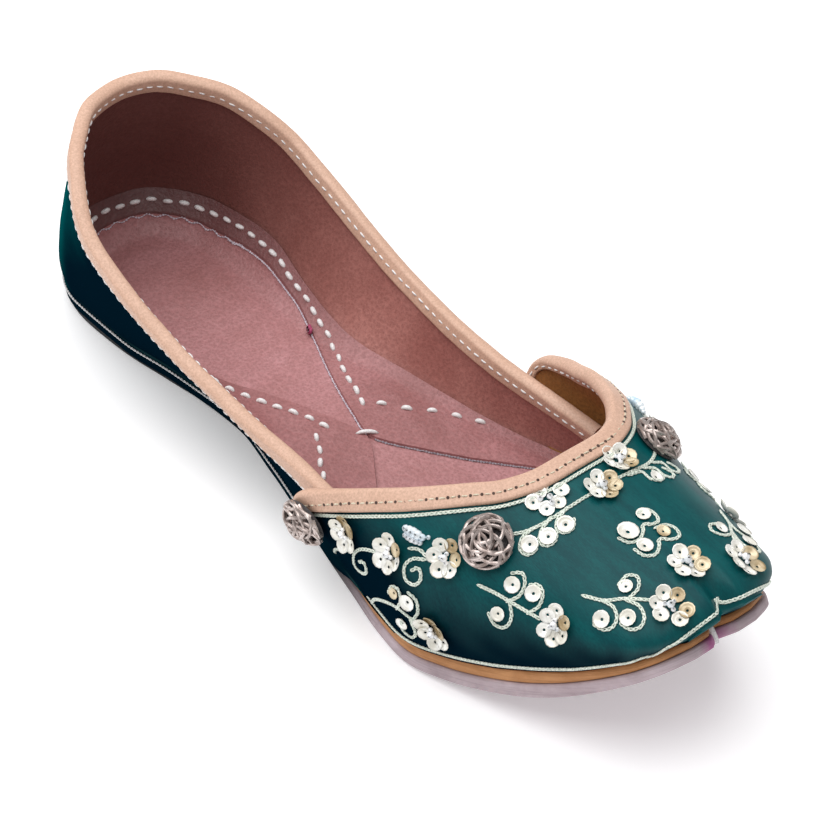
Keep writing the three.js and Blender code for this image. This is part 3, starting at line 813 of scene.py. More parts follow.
def vamp():
    """Satin outside and lining inside, closed under the tip of the toe."""
    a = even_around(181)[None, :]
    start = throat_s(np.abs(a))
    s = mix(start, LENGTH, VAMP_ROWS)
    outer = on_vamp(s, np.broadcast_to(a, s.shape))
    last = outer[-1:]
    floor_line = on_sole(LENGTH, last[..., 1], SEAT)
    turn = np.linspace(0, 1, NOSE_ROWS + 1)[1:, None, None] * math.pi / 2
    nose = floor_line + (last - floor_line) * np.cos(turn) + NOSE_BULGE * np.sin(2 * turn)
    tuck = on_sole(LENGTH - TUCK_BACK, TUCK_SHARE * last[..., 1], SEAT - TUCK_LOW)
    outer = np.concatenate([outer, nose, tuck])
    inside = mix(start, LINING_TIP, VAMP_ROWS)
    inside = np.concatenate([inside, np.full((NOSE_ROWS + 1, a.shape[1]), LINING_TIP)])
    wide = np.broadcast_to(a, inside.shape)
    n = vamp_normal(inside, wide)
    square = stack(-np.sin(tilt_at(inside)), 0, np.cos(tilt_at(inside)))
    near_foot = smooth(*LINING_UPRIGHT, np.abs(wide))[..., None]
    n = unit(n - square * (n * square).sum(-1, keepdims=True) * near_foot)
    inner = vamp_outer(inside, wide) - n * WALL
    points, faces, kind = sheet_shell(outer, inner)
    return piece("vamp", points, faces, [SATIN, VAMP_LINING], slot="satin", face_finish=kind, sharp=70)


def quarter_wall(t, v, out):
    p = quarter_outer(t, v)
    return p + quarter_normal(t, v) * np.asarray(out)[..., None]


def skirt_low(s):
    """How low the satin is drawn over the sole's edge; it ends under the vamp."""
    return mix(SKIRT_LOW, SEAT, smooth(SKIRT_FROM, SKIRT_TO, s))


def skirt_at(t, k, out=0.0):
    """The satin below the quarter's foot: k is 0 at its lower edge and 1 at the foot."""
    t, k = np.broadcast_arrays(np.asarray(t, float), np.asarray(k, float))
    n = quarter_normal(t, 0.0) * np.array([1, 1, 0])
    foot = quarter_outer(t, 0.0)
    low = mix(skirt_low(foot[..., 0]), SEAT, k)
    edge = on_sole(FOOT_S(np.abs(t)), side_of(t) * FOOT_W(np.abs(t)), low)
    return edge + unit(n) * (SKIRT_OUT + SKIRT_SWELL * np.sin(math.pi * k) + out)[..., None]


def quarters():
    """Satin outside, drawn down over the sole's edge, and lining inside."""
    t = np.linspace(-QUARTER_END, QUARTER_END, 361)[:, None]
    v = np.concatenate([np.linspace(0.02, 0.12, 8), np.linspace(0.145, 1, 50)])[None, :]
    t, v = np.broadcast_arrays(t, v)
    outer = quarter_outer(t, v)
    relief = satin_relief(outer) * smooth(0, 0.08, v) * smooth(1, 0.9, v)
    outer = outer + quarter_normal(t, v) * relief[..., None]
    inner = quarter_wall(t, v, full(-WALL, t))
    skirt = skirt_at(t[:, :1], np.linspace(0, 0.9, 9)[None, :])
    outer = np.concatenate([skirt, outer], 1)
    inner = np.concatenate([np.broadcast_to(inner[:, :1], skirt.shape), inner], 1)
    points, faces, kind = sheet_shell(outer, inner)
    return piece("quarters", points, faces, [SATIN, LINING], slot="satin", face_finish=kind, sharp=70)


vamp_piece = vamp()
quarters()


# ---------------------------------------------------------------- bindings
def collar_at(t, out, up):
    """Point of the collar binding: out from the wall and up from its top edge."""
    t, out, up = np.broadcast_arrays(*(np.asarray(x, float) for x in (t, out, up)))
    height = np.linalg.norm(quarter_outer(t, 1.0) - quarter_outer(t, 0.0), axis=-1)
    return quarter_wall(t, 1 + up / height, out)


# how far out each face of a binding lies, from the outside of the wall: its outer and inner skin, their
# edges pressed to the wall, and its hidden faces on both sides of the wall
COLLAR_OUT, COLLAR_IN, COLLAR_OUT_EDGE, COLLAR_HIDDEN = 1.0, -3.04, 0.75, (-2.15, 0.15)
THROAT_OUT, THROAT_IN, THROAT_OUT_EDGE, THROAT_HIDDEN = 1.05, -3.06, 0.7, (-2.1, 0.1)
IN_EDGE = -2.7
# the rounded fold: its middle, half widths and height
FOLD_MIDDLE, COLLAR_FOLD, THROAT_FOLD, FOLD_HIGH = -WALL / 2, 2.04, 2.06, 1.35
FOLD_TURN = np.linspace(0.06, math.pi - 0.06, 13)
HIDDEN_TOP = 0.1


def collar_profile():
    """Section of the collar binding, as (out from the wall, up from its top edge)."""
    leg = np.linspace(-COLLAR_DEPTH, -0.2, 13)
    swell = np.sin(math.pi * (leg + COLLAR_DEPTH) / COLLAR_DEPTH)
    outer = [(COLLAR_OUT + 0.16 * b, u) for b, u in zip(swell, leg)]
    outer[0] = (COLLAR_OUT_EDGE, -COLLAR_DEPTH)
    top = [(FOLD_MIDDLE + COLLAR_FOLD * math.cos(k), FOLD_HIGH * math.sin(k)) for k in FOLD_TURN]
    inner = [(COLLAR_IN - 0.12 * b, u) for b, u in zip(swell[::-1], leg[::-1])]
    inner[-1] = (IN_EDGE, -COLLAR_DEPTH)
    up_side = (-COLLAR_DEPTH, -2.5, HIDDEN_TOP)
    hidden = [(COLLAR_HIDDEN[0], up) for up in up_side] + [(COLLAR_HIDDEN[1], up) for up in up_side[::-1]]
    return np.array(outer + top + inner + hidden)


def collar_binding():
    """Leather folded over the quarters' top edge."""
    t = np.linspace(-COLLAR_END, COLLAR_END, 421)
    profile = collar_profile()
    sections = collar_at(t[:, None], profile[None, :, 0], profile[None, :, 1])
    uneven = 0.12 * ripple(sections, 17, 3) + 0.05 * ripple(sections, 6, 4)
    sections = sections + quarter_normal(t, 1.0)[:, None] * uneven[..., None]
    return piece("collar_binding_leather", *sweep(sections), TAN, slot="tan", sharp=75)


def throat_frame(a):
    """Edge of the throat at a: its place, its outward normal and the way onto the vamp."""
    a = np.asarray(a, float)
    edge = vamp_outer(throat_s(np.abs(a)), a)
    before, after = (vamp_outer(throat_s(np.abs(b)), b) for b in (a - 0.01, a + 0.01))
    n = vamp_normal(throat_s(np.abs(a)), a)
    inward = unit(np.cross(unit(after - before), n))
    to_tip = vamp_outer(LENGTH, 0.0) - edge
    inward = inward * np.sign((inward * to_tip).sum(-1, keepdims=True))
    return edge, n, inward


def throat_at(a, out, onto):
    """Point of the throat binding: out from the vamp, onto it from its edge (below 0 is over the edge)."""
    a, out, onto = np.broadcast_arrays(*(np.asarray(x, float) for x in (a, out, onto)))
    edge, n, inward = throat_frame(a)
    s, around = walk(throat_s(np.abs(a)), a, inward, np.maximum(onto, 0))
    walked = over_vamp(s, around, out)
    over = edge + n * out[..., None] + inward * np.minimum(onto, 0)[..., None]
    return np.where((onto > 0)[..., None], walked, over)


def throat_even(count, high=0.93):
    """Places evenly spaced along the throat's edge, to high on both sides."""
    a = even_around(3001, 190.0, high)
    run = length_along(vamp_outer(throat_s(np.abs(a)), a))
    return np.interp(np.linspace(0, run[-1], count), run, a)


def throat_depth(a):
    """How deep the binding reaches onto the vamp; it narrows on the wings."""
    return mix(THROAT_DEPTH, WING_DEPTH, smooth(0.5, 0.8, np.abs(a)))


def throat_binding():
    """Leather folded over the throat's edge, wider outside than inside."""
    a = throat_even(381)
    depth = throat_depth(a)
    inner = mix(INNER_DEPTH, INNER_DEPTH / 2, smooth(0.6, 0.78, np.abs(a)))
    rows = []
    for k in np.linspace(1, 0.03, 14):
        skin = THROAT_OUT_EDGE if k == 1 else THROAT_OUT + 0.15 * math.sin(math.pi * k)
        rows.append(throat_at(a, skin, depth * k))
    for turn in FOLD_TURN:
        rows.append(throat_at(a, FOLD_MIDDLE + THROAT_FOLD * math.cos(turn), -FOLD_HIGH * math.sin(turn)))
    for k in np.linspace(0.03, 1, 8):
        rows.append(throat_at(a, IN_EDGE if k == 1 else THROAT_IN, inner * k))
    within, without = THROAT_HIDDEN
    for out, onto in ((within, inner), (within, HIDDEN_TOP), (without, HIDDEN_TOP), (without, depth)):
        rows.append(throat_at(a, out, onto))
    sections = np.stack(rows, 1)
    uneven = 0.12 * ripple(sections, 15, 5)
    sections = sections + throat_frame(a)[1][:, None] * uneven[..., None]
    return piece("throat_binding_leather", *sweep(sections), TAN, slot="tan", sharp=75)


collar_piece = collar_binding()
throat_piece = throat_binding()


# ---------------------------------------------------------------- foot bed
# s of the wall beside it, where the turned-in lining's edge lies from the middle (0) to the wall (1)
LINING_EDGE = [
    (0, 0.8), (20, 0.8), (40, 0.83), (60, 0.84), (70, 0.78), (80, 0.64), (90, 0.43), (98, 0.26),
    (107, 0.11), (116.5, 0.004), (118.5, 0.03), (128, 0.25), (141, 0.53), (154, 0.77), (165, 0.88),
    (180, 0.93), (250, 0.93),
]
# s, height and width of the cove between foot bed and wall
COVE = [
    (0, 9.5, 10), (30, 9.5, 10), (45, 8.5, 10), (60, 6, 8), (80, 3, 7), (100, 1.6, 5), (130, 1, 4),
    (250, 0.8, 3),
]
# s of the middle that the heel's rows of the foot bed spread from
FAN_S = 24.0
lining_edge, cove_high, cove_wide = through(LINING_EDGE, 1), through(COVE, 1), through(COVE, 2)
# the quarters' row where the border leaves them, the bed's front, its gap to the wall, mm in a unit of u
BED_T, BED_FRONT, BED_GAP, U_LONG = 10.0, 243.5, 0.1, 10
# the leather lies a little sunk in its frame; the turned-in lining stands over it by its own thickness
BED_SINK, LINING_STEP, STEP_WIDE, COVE_POWER = 0.6, 1.1, 0.3, 1.3
BED_COLS, LINING_COLS = 15, 22


def bed_border(u):
    """Foot of the inner wall; u counts quarter rows to BED_T, then one unit for each U_LONG mm."""
    k, side = np.abs(u), side_of(u)
    t = np.minimum(k, BED_T) * side
    out = full(-WALL - BED_GAP, t)
    low = quarter_wall(t, 0.0, out)
    high_z = cove_high(low[..., 0])
    wall = quarter_wall(t, np.clip(high_z / (TOP_Z(np.abs(t)) - SEAT), 0, 1), out)
    join = quarter_wall(BED_T * side, 0.0, out)[..., 0]
    s = np.where(k > BED_T, join + (k - BED_T) * U_LONG, wall[..., 0])
    w = np.where(k > BED_T, side * (sole_half(s) - WALL - 2 * BED_GAP), wall[..., 1])
    foot_s = np.where(k > BED_T, s, low[..., 0])
    foot_w = np.where(k > BED_T, w, low[..., 1])
    return s, w, high_z, foot_s, foot_w


BED_END = BED_T + (BED_FRONT - float(quarter_wall(BED_T, 0.0, -WALL - BED_GAP)[0])) / U_LONG


def foot_bed(u, r, lift=0.0):
    """Top of the foot bed: u goes round the walls, r from the middle to the wall."""
    u, r = np.broadcast_arrays(np.asarray(u, float), np.asarray(r, float))
    s, w, high, _, _ = bed_border(u)
    middle = np.maximum(s, FAN_S)
    span = np.hypot(s - middle, w)
    cove = high * np.clip(1 - (1 - r) * span / cove_wide(s), 0, 1) ** COVE_POWER
    step = smooth(0, STEP_WIDE, (r - lining_edge(s)) * span) * LINING_STEP
    at_s, at_w = mix(middle, s, r), w * r
    flat = on_sole(at_s, at_w, FLOOR)
    wave = 0.22 * ripple(flat, 30, 6) + 0.08 * ripple(flat, 11, 7)
    return on_sole(at_s, at_w, FLOOR - BED_SINK + cove + step + wave + lift)


def foot_bed_piece():
    """The foot-bed leather with the quarters' linings turned in over it."""
    u = np.concatenate([-np.linspace(BED_END, BED_T, 60)[:-1], np.linspace(-BED_T, BED_T, 261),
                        np.linspace(BED_T, BED_END, 60)[1:]])
    s, w, _, foot_s, foot_w = bed_border(u)
    edge = lining_edge(s)
    span = np.hypot(s - np.maximum(s, FAN_S), w)
    step = np.minimum((STEP_WIDE + 0.05) / span, 1 - edge)
    cols = [edge * k for k in np.linspace(0, 1, BED_COLS)] + [edge + step * 0.5]
    cols += [edge + step + (1 - edge - step) * k for k in np.linspace(0, 1, LINING_COLS)]
    r = np.stack(cols, -1)
    top = foot_bed(u[:, None], r)
    middle = np.maximum(foot_s, FAN_S)[:, None]
    low = on_sole(mix(middle, foot_s[:, None], r), foot_w[:, None] * r, SEAT + SOLE_SEAM)
    points, faces, kind = sheet_shell(top, low)
    turned_in = [int(j % (len(cols) - 1) >= BED_COLS) for j in range((len(u) - 1) * (len(cols) - 1))]
    kind = turned_in + [1] * (len(kind) - len(turned_in))
    return piece("foot_bed", points, faces, [FOOT_BED, TURNED_LINING], slot="lining", face_finish=kind,
                 sharp=40)


foot_bed_leather = foot_bed_piece()


# ---------------------------------------------------------------- repeated small things
def turned(v):
    """A direction among shoe points, in the frame."""
    v = np.asarray(v, float)
    return np.stack([-v[..., 1], -v[..., 0], v[..., 2]], -1)


def hidden_motif(name, points, faces):
    """Mesh of one small thing in its own mm: x ahead, z away from the surface."""
    mesh = bpy.data.meshes.new(name)
    mesh.from_pydata((np.asarray(points) * MM).tolist(), [], [tuple(map(int, f)) for f in faces])
    mesh.polygons.foreach_set("use_smooth", np.ones(len(mesh.polygons), bool))
    return bpy.data.objects.new(name, mesh)


def scatter_tree():
    """Puts a motif on each point, by the point's own up, ahead and size, and makes it real."""
    tree = bpy.data.node_groups.new("scatter_on_points", "GeometryNodeTree")
    face = tree.interface
    face.new_socket("Points", in_out="INPUT", socket_type="NodeSocketGeometry")
    face.new_socket("Motif", in_out="INPUT", socket_type="NodeSocketObject")
    face.new_socket("Finish", in_out="INPUT", socket_type="NodeSocketMaterial")
    face.new_socket("Result", in_out="OUTPUT", socket_type="NodeSocketGeometry")
    given, made = tree.nodes.new("NodeGroupInput"), tree.nodes.new("NodeGroupOutput")
    up = add_node(tree, "GeometryNodeInputNamedAttribute", {"Name": "up"}, data_type="FLOAT_VECTOR")
    ahead = add_node(tree, "GeometryNodeInputNamedAttribute", {"Name": "ahead"}, data_type="FLOAT_VECTOR")
    size = add_node(tree, "GeometryNodeInputNamedAttribute", {"Name": "size"}, data_type="FLOAT")
    turn = add_node(tree, "FunctionNodeAxesToRotation", {"Primary Axis": up.outputs["Attribute"],
                                                         "Secondary Axis": ahead.outputs["Attribute"]},
                    primary_axis="Z", secondary_axis="X")
    motif = add_node(tree, "GeometryNodeObjectInfo", {"Object": given.outputs["Motif"]})
    placed = add_node(tree, "GeometryNodeInstanceOnPoints", {
        "Points": given.outputs["Points"], "Instance": motif.outputs["Geometry"],
        "Rotation": turn.outputs["Rotation"], "Scale": size.outputs["Attribute"]})
    real = add_node(tree, "GeometryNodeRealizeInstances", {"Geometry": placed.outputs["Instances"]})
    coated = add_node(tree, "GeometryNodeSetMaterial", {"Geometry": real.outputs["Geometry"],
                                                        "Material": given.outputs["Finish"]})
    tree.links.new(coated.outputs["Geometry"], made.inputs["Result"])
    return tree


SCATTER = scatter_tree()


def scatter(name, motif, finish, points, up, ahead, size=1.0):
    """Real copies of a motif at shoe points."""
    co = place(points).reshape(-1, 3)
    mesh = bpy.data.meshes.new(name)
    mesh.from_pydata(co.tolist(), [], [])
    for label, value in (("up", turned(up)), ("ahead", turned(ahead))):
        vectors = np.broadcast_to(np.asarray(value, float), np.shape(points)).reshape(-1, 3)
        mesh.attributes.new(label, "FLOAT_VECTOR", "POINT").data.foreach_set("vector", vectors.ravel())
    sizes = np.broadcast_to(np.asarray(size, float), (len(co),))
    mesh.attributes.new("size", "FLOAT", "POINT").data.foreach_set("value", sizes.astype(float).copy())
    carrier = bpy.data.objects.new(name + "_points", mesh)
    collection = bpy.context.scene.collection.objects
    collection.link(carrier)
    collection.link(motif)
    modifier = carrier.modifiers.new("scatter", "NODES")
    modifier.node_group = SCATTER
    sockets = {item.name: item.identifier for item in SCATTER.interface.items_tree}
    modifier[sockets["Motif"]] = motif
    modifier[sockets["Finish"]] = finish
    bpy.context.view_layer.update()
    graph = bpy.context.evaluated_depsgraph_get()
    baked = bpy.data.meshes.new_from_object(carrier.evaluated_get(graph))
    carrier.modifiers.remove(modifier)
    bpy.data.objects.remove(carrier)
    collection.unlink(motif)
    baked.name = name
    obj = bpy.data.objects.new(name, baked)
    collection.link(obj)
    return obj


def stitch_motif(name, length, radius, rise_up=0.0):
    """One stitch: a short thread that dips into the surface at both ends."""
    u = np.linspace(-1, 1, 7)
    path = np.stack([u * length / 2, 0 * u, rise_up * (1 - u**2) - radius * 0.9 * np.abs(u) ** 3], -1)
    thick = radius * np.array([0.45, 0.85, 1, 1, 1, 0.85, 0.45])
    return hidden_motif(name, *tube(path, np.array([0, 0, 1.0]), thick, 6))


def chain_motif(name, length, width, radius):
    """One link of chain stitch: a thread loop, narrow where it starts and round where it ends."""
    steps, sides = 10, 5
    turn = full_turn(steps)
    x = -length / 2 * np.cos(turn)
    y = width / 2 * np.sin(turn) * (0.62 + 0.38 * x / (length / 2))
    z = radius * (0.9 - 0.5 * x / (length / 2))
    path = np.stack([x, y, z], -1)
    ahead = unit(np.roll(path, -1, 0) - np.roll(path, 1, 0))
    across = unit(np.cross(ahead, [0, 0, 1.0]))
    ring = rings_round(path, across, np.cross(across, ahead), radius, sides)
    faces = [(i * sides + j, nxt * sides + j, nxt * sides + (j + 1) % sides, i * sides + (j + 1) % sides)
             for i, nxt in enumerate(np.roll(np.arange(steps), -1)) for j in range(sides)]
    return hidden_motif(name, ring.reshape(-1, 3), faces)


def disc_motif(name, rings, sides=12):
    """Turned shape from (radius, height) rows; a first and last row that agree close it."""
    angle = full_turn(sides)
    rows = np.array(rings, float)
    points = np.stack([rows[:, :1] * np.cos(angle), rows[:, :1] * np.sin(angle),
                       np.repeat(rows[:, 1:], sides, 1)], -1)
    faces = grid_faces(len(rows), sides, wrap=True)
    if np.allclose(rows[0], rows[-1]):
        last = (len(rows) - 1) * sides
        faces = [tuple(i - last if i >= last else i for i in f) for f in faces]
        return hidden_motif(name, points[:-1].reshape(-1, 3), faces)
    faces += [tuple(reversed(range(sides))), tuple(range((len(rows) - 1) * sides, len(rows) * sides))]
    return hidden_motif(name, points.reshape(-1, 3), faces)


THREAD_STITCH = stitch_motif("thread_stitch", 2.1, 0.27)
SHORT_STITCH = stitch_motif("short_stitch", 1.7, 0.24)
BIG_STITCH = stitch_motif("big_stitch", 3.1, 0.72, 0.35)
LONG_STITCH = stitch_motif("long_stitch", 6.2, 0.62, 0.3)
CHAIN_LINK = chain_motif("chain_link", 1.8, 0.88, 0.22)
SEQUIN = disc_motif("sequin", [(0.42, 0.16), (1.2, 0.2), (1.9, 0.42), (2.3, 0.75), (2.22, 0.52),
                               (1.2, 0.02), (0.42, 0.0), (0.42, 0.16)])
BEAD = disc_motif("bead", [(0.3, 0.0), (0.85, 0.3), (1.05, 0.9), (0.85, 1.5), (0.3, 1.85)], 9)
STITCH_HOLE = disc_motif("stitch_hole", [(0.42, -0.4), (0.42, 0.0), (0.36, 0.05), (0.1, 0.02)], 8)
SMALL_KNOT = disc_motif("knot", [(0.5, 0.0), (1.1, 0.3), (1.2, 0.7), (0.6, 1.1)], 7)


# ---------------------------------------------------------------- stitching rows
def spaced(surface, control, pitch, count=600):
    """Evenly spaced places on a surface along a curve through control values."""
    values = spline(control, count)
    run = length_along(surface(*values.T))
    return columns_at(even_steps(run, pitch), run, values)


def stitch_row(name, motif, finish, path, normals, sway):
    """Stitches along a path with a sewer's small unevenness."""
    rng = np.random.default_rng(SEED + len(path))
    up, ahead = unit(normals), unit(np.gradient(path, axis=0))
    across = np.cross(up, ahead)
    moved = path + across * (rng.uniform(-1, 1, len(path)) * sway)[:, None]
    angle = rng.uniform(-0.1, 0.1, len(path))
    heading = ahead * np.cos(angle)[:, None] + across * np.sin(angle)[:, None]
    return scatter(name, motif, finish, moved, up, heading, rng.uniform(0.92, 1.08, len(path)))


def collar_row(name, out, up, facing):
    span = COLLAR_END - 0.4
    t = spaced(lambda x: collar_at(x, out, up), np.linspace(-span, span, 41)[:, None], 3.0, 2000)[:, 0]
    normals = quarter_normal(t, 1.0) * facing
    return stitch_row(name, THREAD_STITCH, WHITE_THREAD, collar_at(t, out, up), normals, 0.12)


collar_row("collar_stitches_inside", out=-3.2, up=-1.9, facing=-1)
collar_row("collar_stitches_outside", out=1.12, up=-3.9, facing=1)


def throat_row(name, out, share, facing, motif, finish, pitch, shift=0.0, sway=0.1):
    """Stitches along the throat binding; share is how far onto it they lie."""
    a = throat_even(1200, 0.92)
    run = length_along(throat_at(a, out, share * throat_depth(a)))
    a = np.interp(np.arange(pitch * (0.5 + shift), run[-1] - pitch / 2, pitch), run, a)
    path = throat_at(a, out, share * throat_depth(a))
    return stitch_row(name, motif, finish, path, throat_frame(a)[1] * facing, sway)


# the outer row's pitch, and how far onto the binding the rows lie
THROAT_PITCH, OUTER_SHARE, INNER_SHARE = 2.9, 0.52, 0.2
# the holes are dark discs of painted shade, with the stitches between them
throat_row("throat_stitch_holes", 1.27, OUTER_SHARE, 1, STITCH_HOLE, HOLE_PAINTED_SHADE, THROAT_PITCH, sway=0.06)
throat_row("throat_stitches", 1.26, OUTER_SHARE, 1, SHORT_STITCH, BROWN_THREAD, THROAT_PITCH, shift=0.5,
           sway=0.06)
throat_row("throat_stitches_inside", -3.16, INNER_SHARE, -1, THREAD_STITCH, WHITE_THREAD, 3.2)

# the border of the foot bed's right half, finely divided
SIDE_U = np.linspace(0.001, BED_END, 1600)
SIDE_S, SIDE_W = bed_border(SIDE_U)[:2]


def bed_point(s, w):
    """Point of the foot bed nearest to a place (s, w) on the plan."""
    middle = np.maximum(SIDE_S, FAN_S)
    vs, vw = SIDE_S - middle, SIDE_W
    found = []
    for at_s, at_w in zip(s, w):
        ps, pw = at_s - middle, abs(at_w)
        r = np.clip((ps * vs + pw * vw) / (vs**2 + vw**2), 0, 1)
        best = np.hypot(ps - r * vs, pw - r * vw).argmin()
        found.append((SIDE_U[best] * side_of(at_w), r[best]))
    return foot_bed(*np.array(found).T)


def upward(n):
    return n * np.sign(n[:, 2:3])


def bed_normal(path):
    s, w = path[:, 0], path[:, 1]
    e = 0.5
    along = bed_point(s + e, w) - bed_point(s - e, w)
    across = bed_point(s, w + e) - bed_point(s, w - e)
    return upward(unit(np.cross(along, across)))


def bed_row(control, pitch):
    """Evenly spaced places of the foot bed through (s, w) places, and their normals."""
    values = spaced(lambda s, w: stack(s, w, 0), control, pitch)
    path = bed_point(*values.T)
    return path, bed_normal(path)


def along_edge(side, low, high, inset):
    """Rows along the turned-in lining's edge, inset mm from it towards the wall."""
    s = np.linspace(low, high, 400)
    u = np.interp(s, SIDE_S, SIDE_U)
    border_s, border_w = bed_border(u)[:2]
    span = np.hypot(border_s - np.maximum(border_s, FAN_S), border_w)
    edge = lining_edge(border_s)
    return np.stack([u * side, edge + np.minimum(inset / span, (1 - edge) * 0.55)], -1)


def bed_run(values, pitch, lift=0.0):
    """Evenly spaced places along (u, r) values, and the bed's upward direction there."""
    run = length_along(foot_bed(values[:, 0], values[:, 1]))
    u, r = columns_at(even_steps(run, pitch), run, values).T
    e = 0.02
    way_u = foot_bed(u + e, r) - foot_bed(u - e, r)
    way_r = foot_bed(u, np.minimum(r + e, 1)) - foot_bed(u, r - e)
    n = upward(unit(np.cross(way_u, way_r)))
    return foot_bed(u, r) + n * lift, n


def round_heel(far_to, near_to, inset):
    """A row from the far side round the heel to the near side, to these s."""
    return np.concatenate([along_edge(-1, 0.5, far_to, inset)[::-1], along_edge(1, 0.5, near_to, inset)])


# insets from the lining's edge, the pitch of the seat's stitches, and how unevenly the bed is sewn
STITCH_INSET, THREAD_INSET, SEAT_PITCH, BED_SWAY = 4.4, 0.1, 4.9, 0.3
path, normals = bed_run(round_heel(106, 107, STITCH_INSET), SEAT_PITCH)
stitch_row("foot_bed_stitches_seat", BIG_STITCH, WHITE_THREAD, path, normals, BED_SWAY)
# s, w of the rows that turn from the seat to the walls, and of the stitch where they part
FRONT_ROW_FAR = [(110, -11), (115.4, -15.6), (120, -20), (126, -24.6), (131.5, -28)]
FRONT_ROW_NEAR = [(109.3, 11.9), (114.5, 15), (118, 18.2), (123.4, 21.7), (129, 26)]
CROSS_STITCH = [(114.2, 2.7), (118, -3.1)]
for label, control, pitch in (("front_far", FRONT_ROW_FAR, 6.2), ("front_near", FRONT_ROW_NEAR, 4.6)):
    path, normals = bed_row(control, pitch)
    stitch_row(f"foot_bed_stitches_{label}", BIG_STITCH, WHITE_THREAD, path, normals, BED_SWAY)
path, normals = bed_row(CROSS_STITCH, 6.9)
centre = path.mean(0, keepdims=True) + [[0, 0, 0.3]]
scatter("foot_bed_cross_stitch", LONG_STITCH, WHITE_THREAD, centre, normals[:1], unit(path[1] - path[0]))

THREAD_STEP, SCALLOP_PITCH, THREAD_PLY = 0.8, 5.2, 2.2


def edge_thread(name, values, radius, scallop=0.0):
    """Thread laid along the lining's edge; scallop is how far it swings to each side."""
    path, normals = bed_run(values, THREAD_STEP, 0.1)
    run = np.arange(len(path)) * THREAD_STEP
    across = np.cross(normals, unit(np.gradient(path, axis=0)))
    path = path + across * (scallop * np.sin(run * 2 * math.pi / SCALLOP_PITCH))[:, None]
    return piece(name, *two_ply(path, normals, radius, THREAD_PLY), LAVENDER)


edge_thread("seat_edge_thread_far", along_edge(-1, 30, 116, THREAD_INSET), 0.34)
edge_thread("seat_edge_thread_heel", round_heel(36, 30, THREAD_INSET), 0.3, 0.45)
edge_thread("front_edge_thread", along_edge(-1, 118.5, 166, THREAD_INSET), 0.32)
knot_at, knot_up = bed_run(along_edge(-1, 74, 76, 0.3), 1.0, 0.3)
scatter("magenta_knot", SMALL_KNOT, MAGENTA, knot_at[:2], knot_up[:2], np.array([[1.0, 0.3, 0]]))


# ---------------------------------------------------------------- places on the embroidered cloth
CLOTH_S = np.arange(118, LENGTH + 1, 1.0)
CLOTH_A = spread_around(1001)
CLOTH_Q = np.array([length_along(vamp_outer(s, CLOTH_A)) for s in CLOTH_S])
CLOTH_Q -= CLOTH_Q[:, len(CLOTH_A) // 2, None]


@np.vectorize
def around_of(s, q):
    """around at q mm across the cloth from the ridge, at s."""
    k = min(max(s - CLOTH_S[0], 0), len(CLOTH_S) - 1.001)
    j = int(k)
    low, high = (np.interp(q, CLOTH_Q[j + n], CLOTH_A) for n in (0, 1))
    return mix(low, high, k - j)


CLOTH_STEP = 0.3


def on_cloth(s, q, height=0.0):
    return on_vamp(np.asarray(s, float), around_of(s, q), height)


def cloth_frame(s, q):
    """Normal of the cloth and its two ways, along s and along q."""
    a = around_of(s, q)
    n = vamp_normal(s, a)
    along = on_cloth(s + CLOTH_STEP, q) - on_cloth(s - CLOTH_STEP, q)
    along = unit(along - n * (along * n).sum(-1, keepdims=True))
    across = np.cross(n, along)
    to_right = on_cloth(s, q + CLOTH_STEP) - on_cloth(s, q - CLOTH_STEP)
    return n, along, across * np.sign((across * to_right).sum(-1, keepdims=True))


# ---------------------------------------------------------------- chain stitch
# mm from link to link, from the throat binding, and over the satin
LINK_PITCH, CHAIN_OFF, CHAIN_LIFT = 1.25, 1.1, 0.05
links = {"points": [], "up": [], "ahead": []}


def add_links(path, normals):
    """Keeps a path's links, to be scattered all at once."""
    links["points"].append(path)
    links["up"].append(unit(normals))
    links["ahead"].append(unit(np.gradient(path, axis=0)))


def chain(control):
    """Chain stitch through a few (s, q) places."""
    at = spaced(lambda s, q: on_vamp(s, around_of(s, q)), np.array(control, float), LINK_PITCH, 60)
    path = on_cloth(at[:, 0], at[:, 1], CHAIN_LIFT)
    add_links(path, vamp_normal(at[:, 0], around_of(at[:, 0], at[:, 1])))


def throat_chain():
    """Chain stitch that follows the throat binding."""
    a = throat_even(900, 0.9)
    known = throat_at(a, 0.1, throat_depth(a) + CHAIN_OFF)
    path = resample(known, LINK_PITCH)
    add_links(path, nearest_normals(path, known, throat_frame(a)[1]))


def nearest_normals(path, known, normals):
    """For each point of a path, the normal at the known point nearest to it."""
    gap = np.linalg.norm(path[:, None] - known[None], axis=-1)
    return normals[gap.argmin(1)]


# s, around of the border that follows the sole and crosses the toe
BORDER = [(163, 0.993), (175, 0.993), (190, 0.991), (205, 0.989), (220, 0.985), (232, 0.977),
          (240, 0.962), (245, 0.93), (248, 0.8), (248.9, 0.52), (248.8, 0.25), (247.6, 0.0)]


def border_chain():
    """Chain stitch along the vamp's lower edge and across the toe."""
    for side_sign in (1, -1):
        control = np.array([(s, side_sign * a) for s, a in BORDER])
        at = spaced(lambda s, a: on_vamp(s, a), control, LINK_PITCH, 800)
        add_links(on_vamp(at[:, 0], at[:, 1], CHAIN_LIFT), vamp_normal(at[:, 0], at[:, 1]))


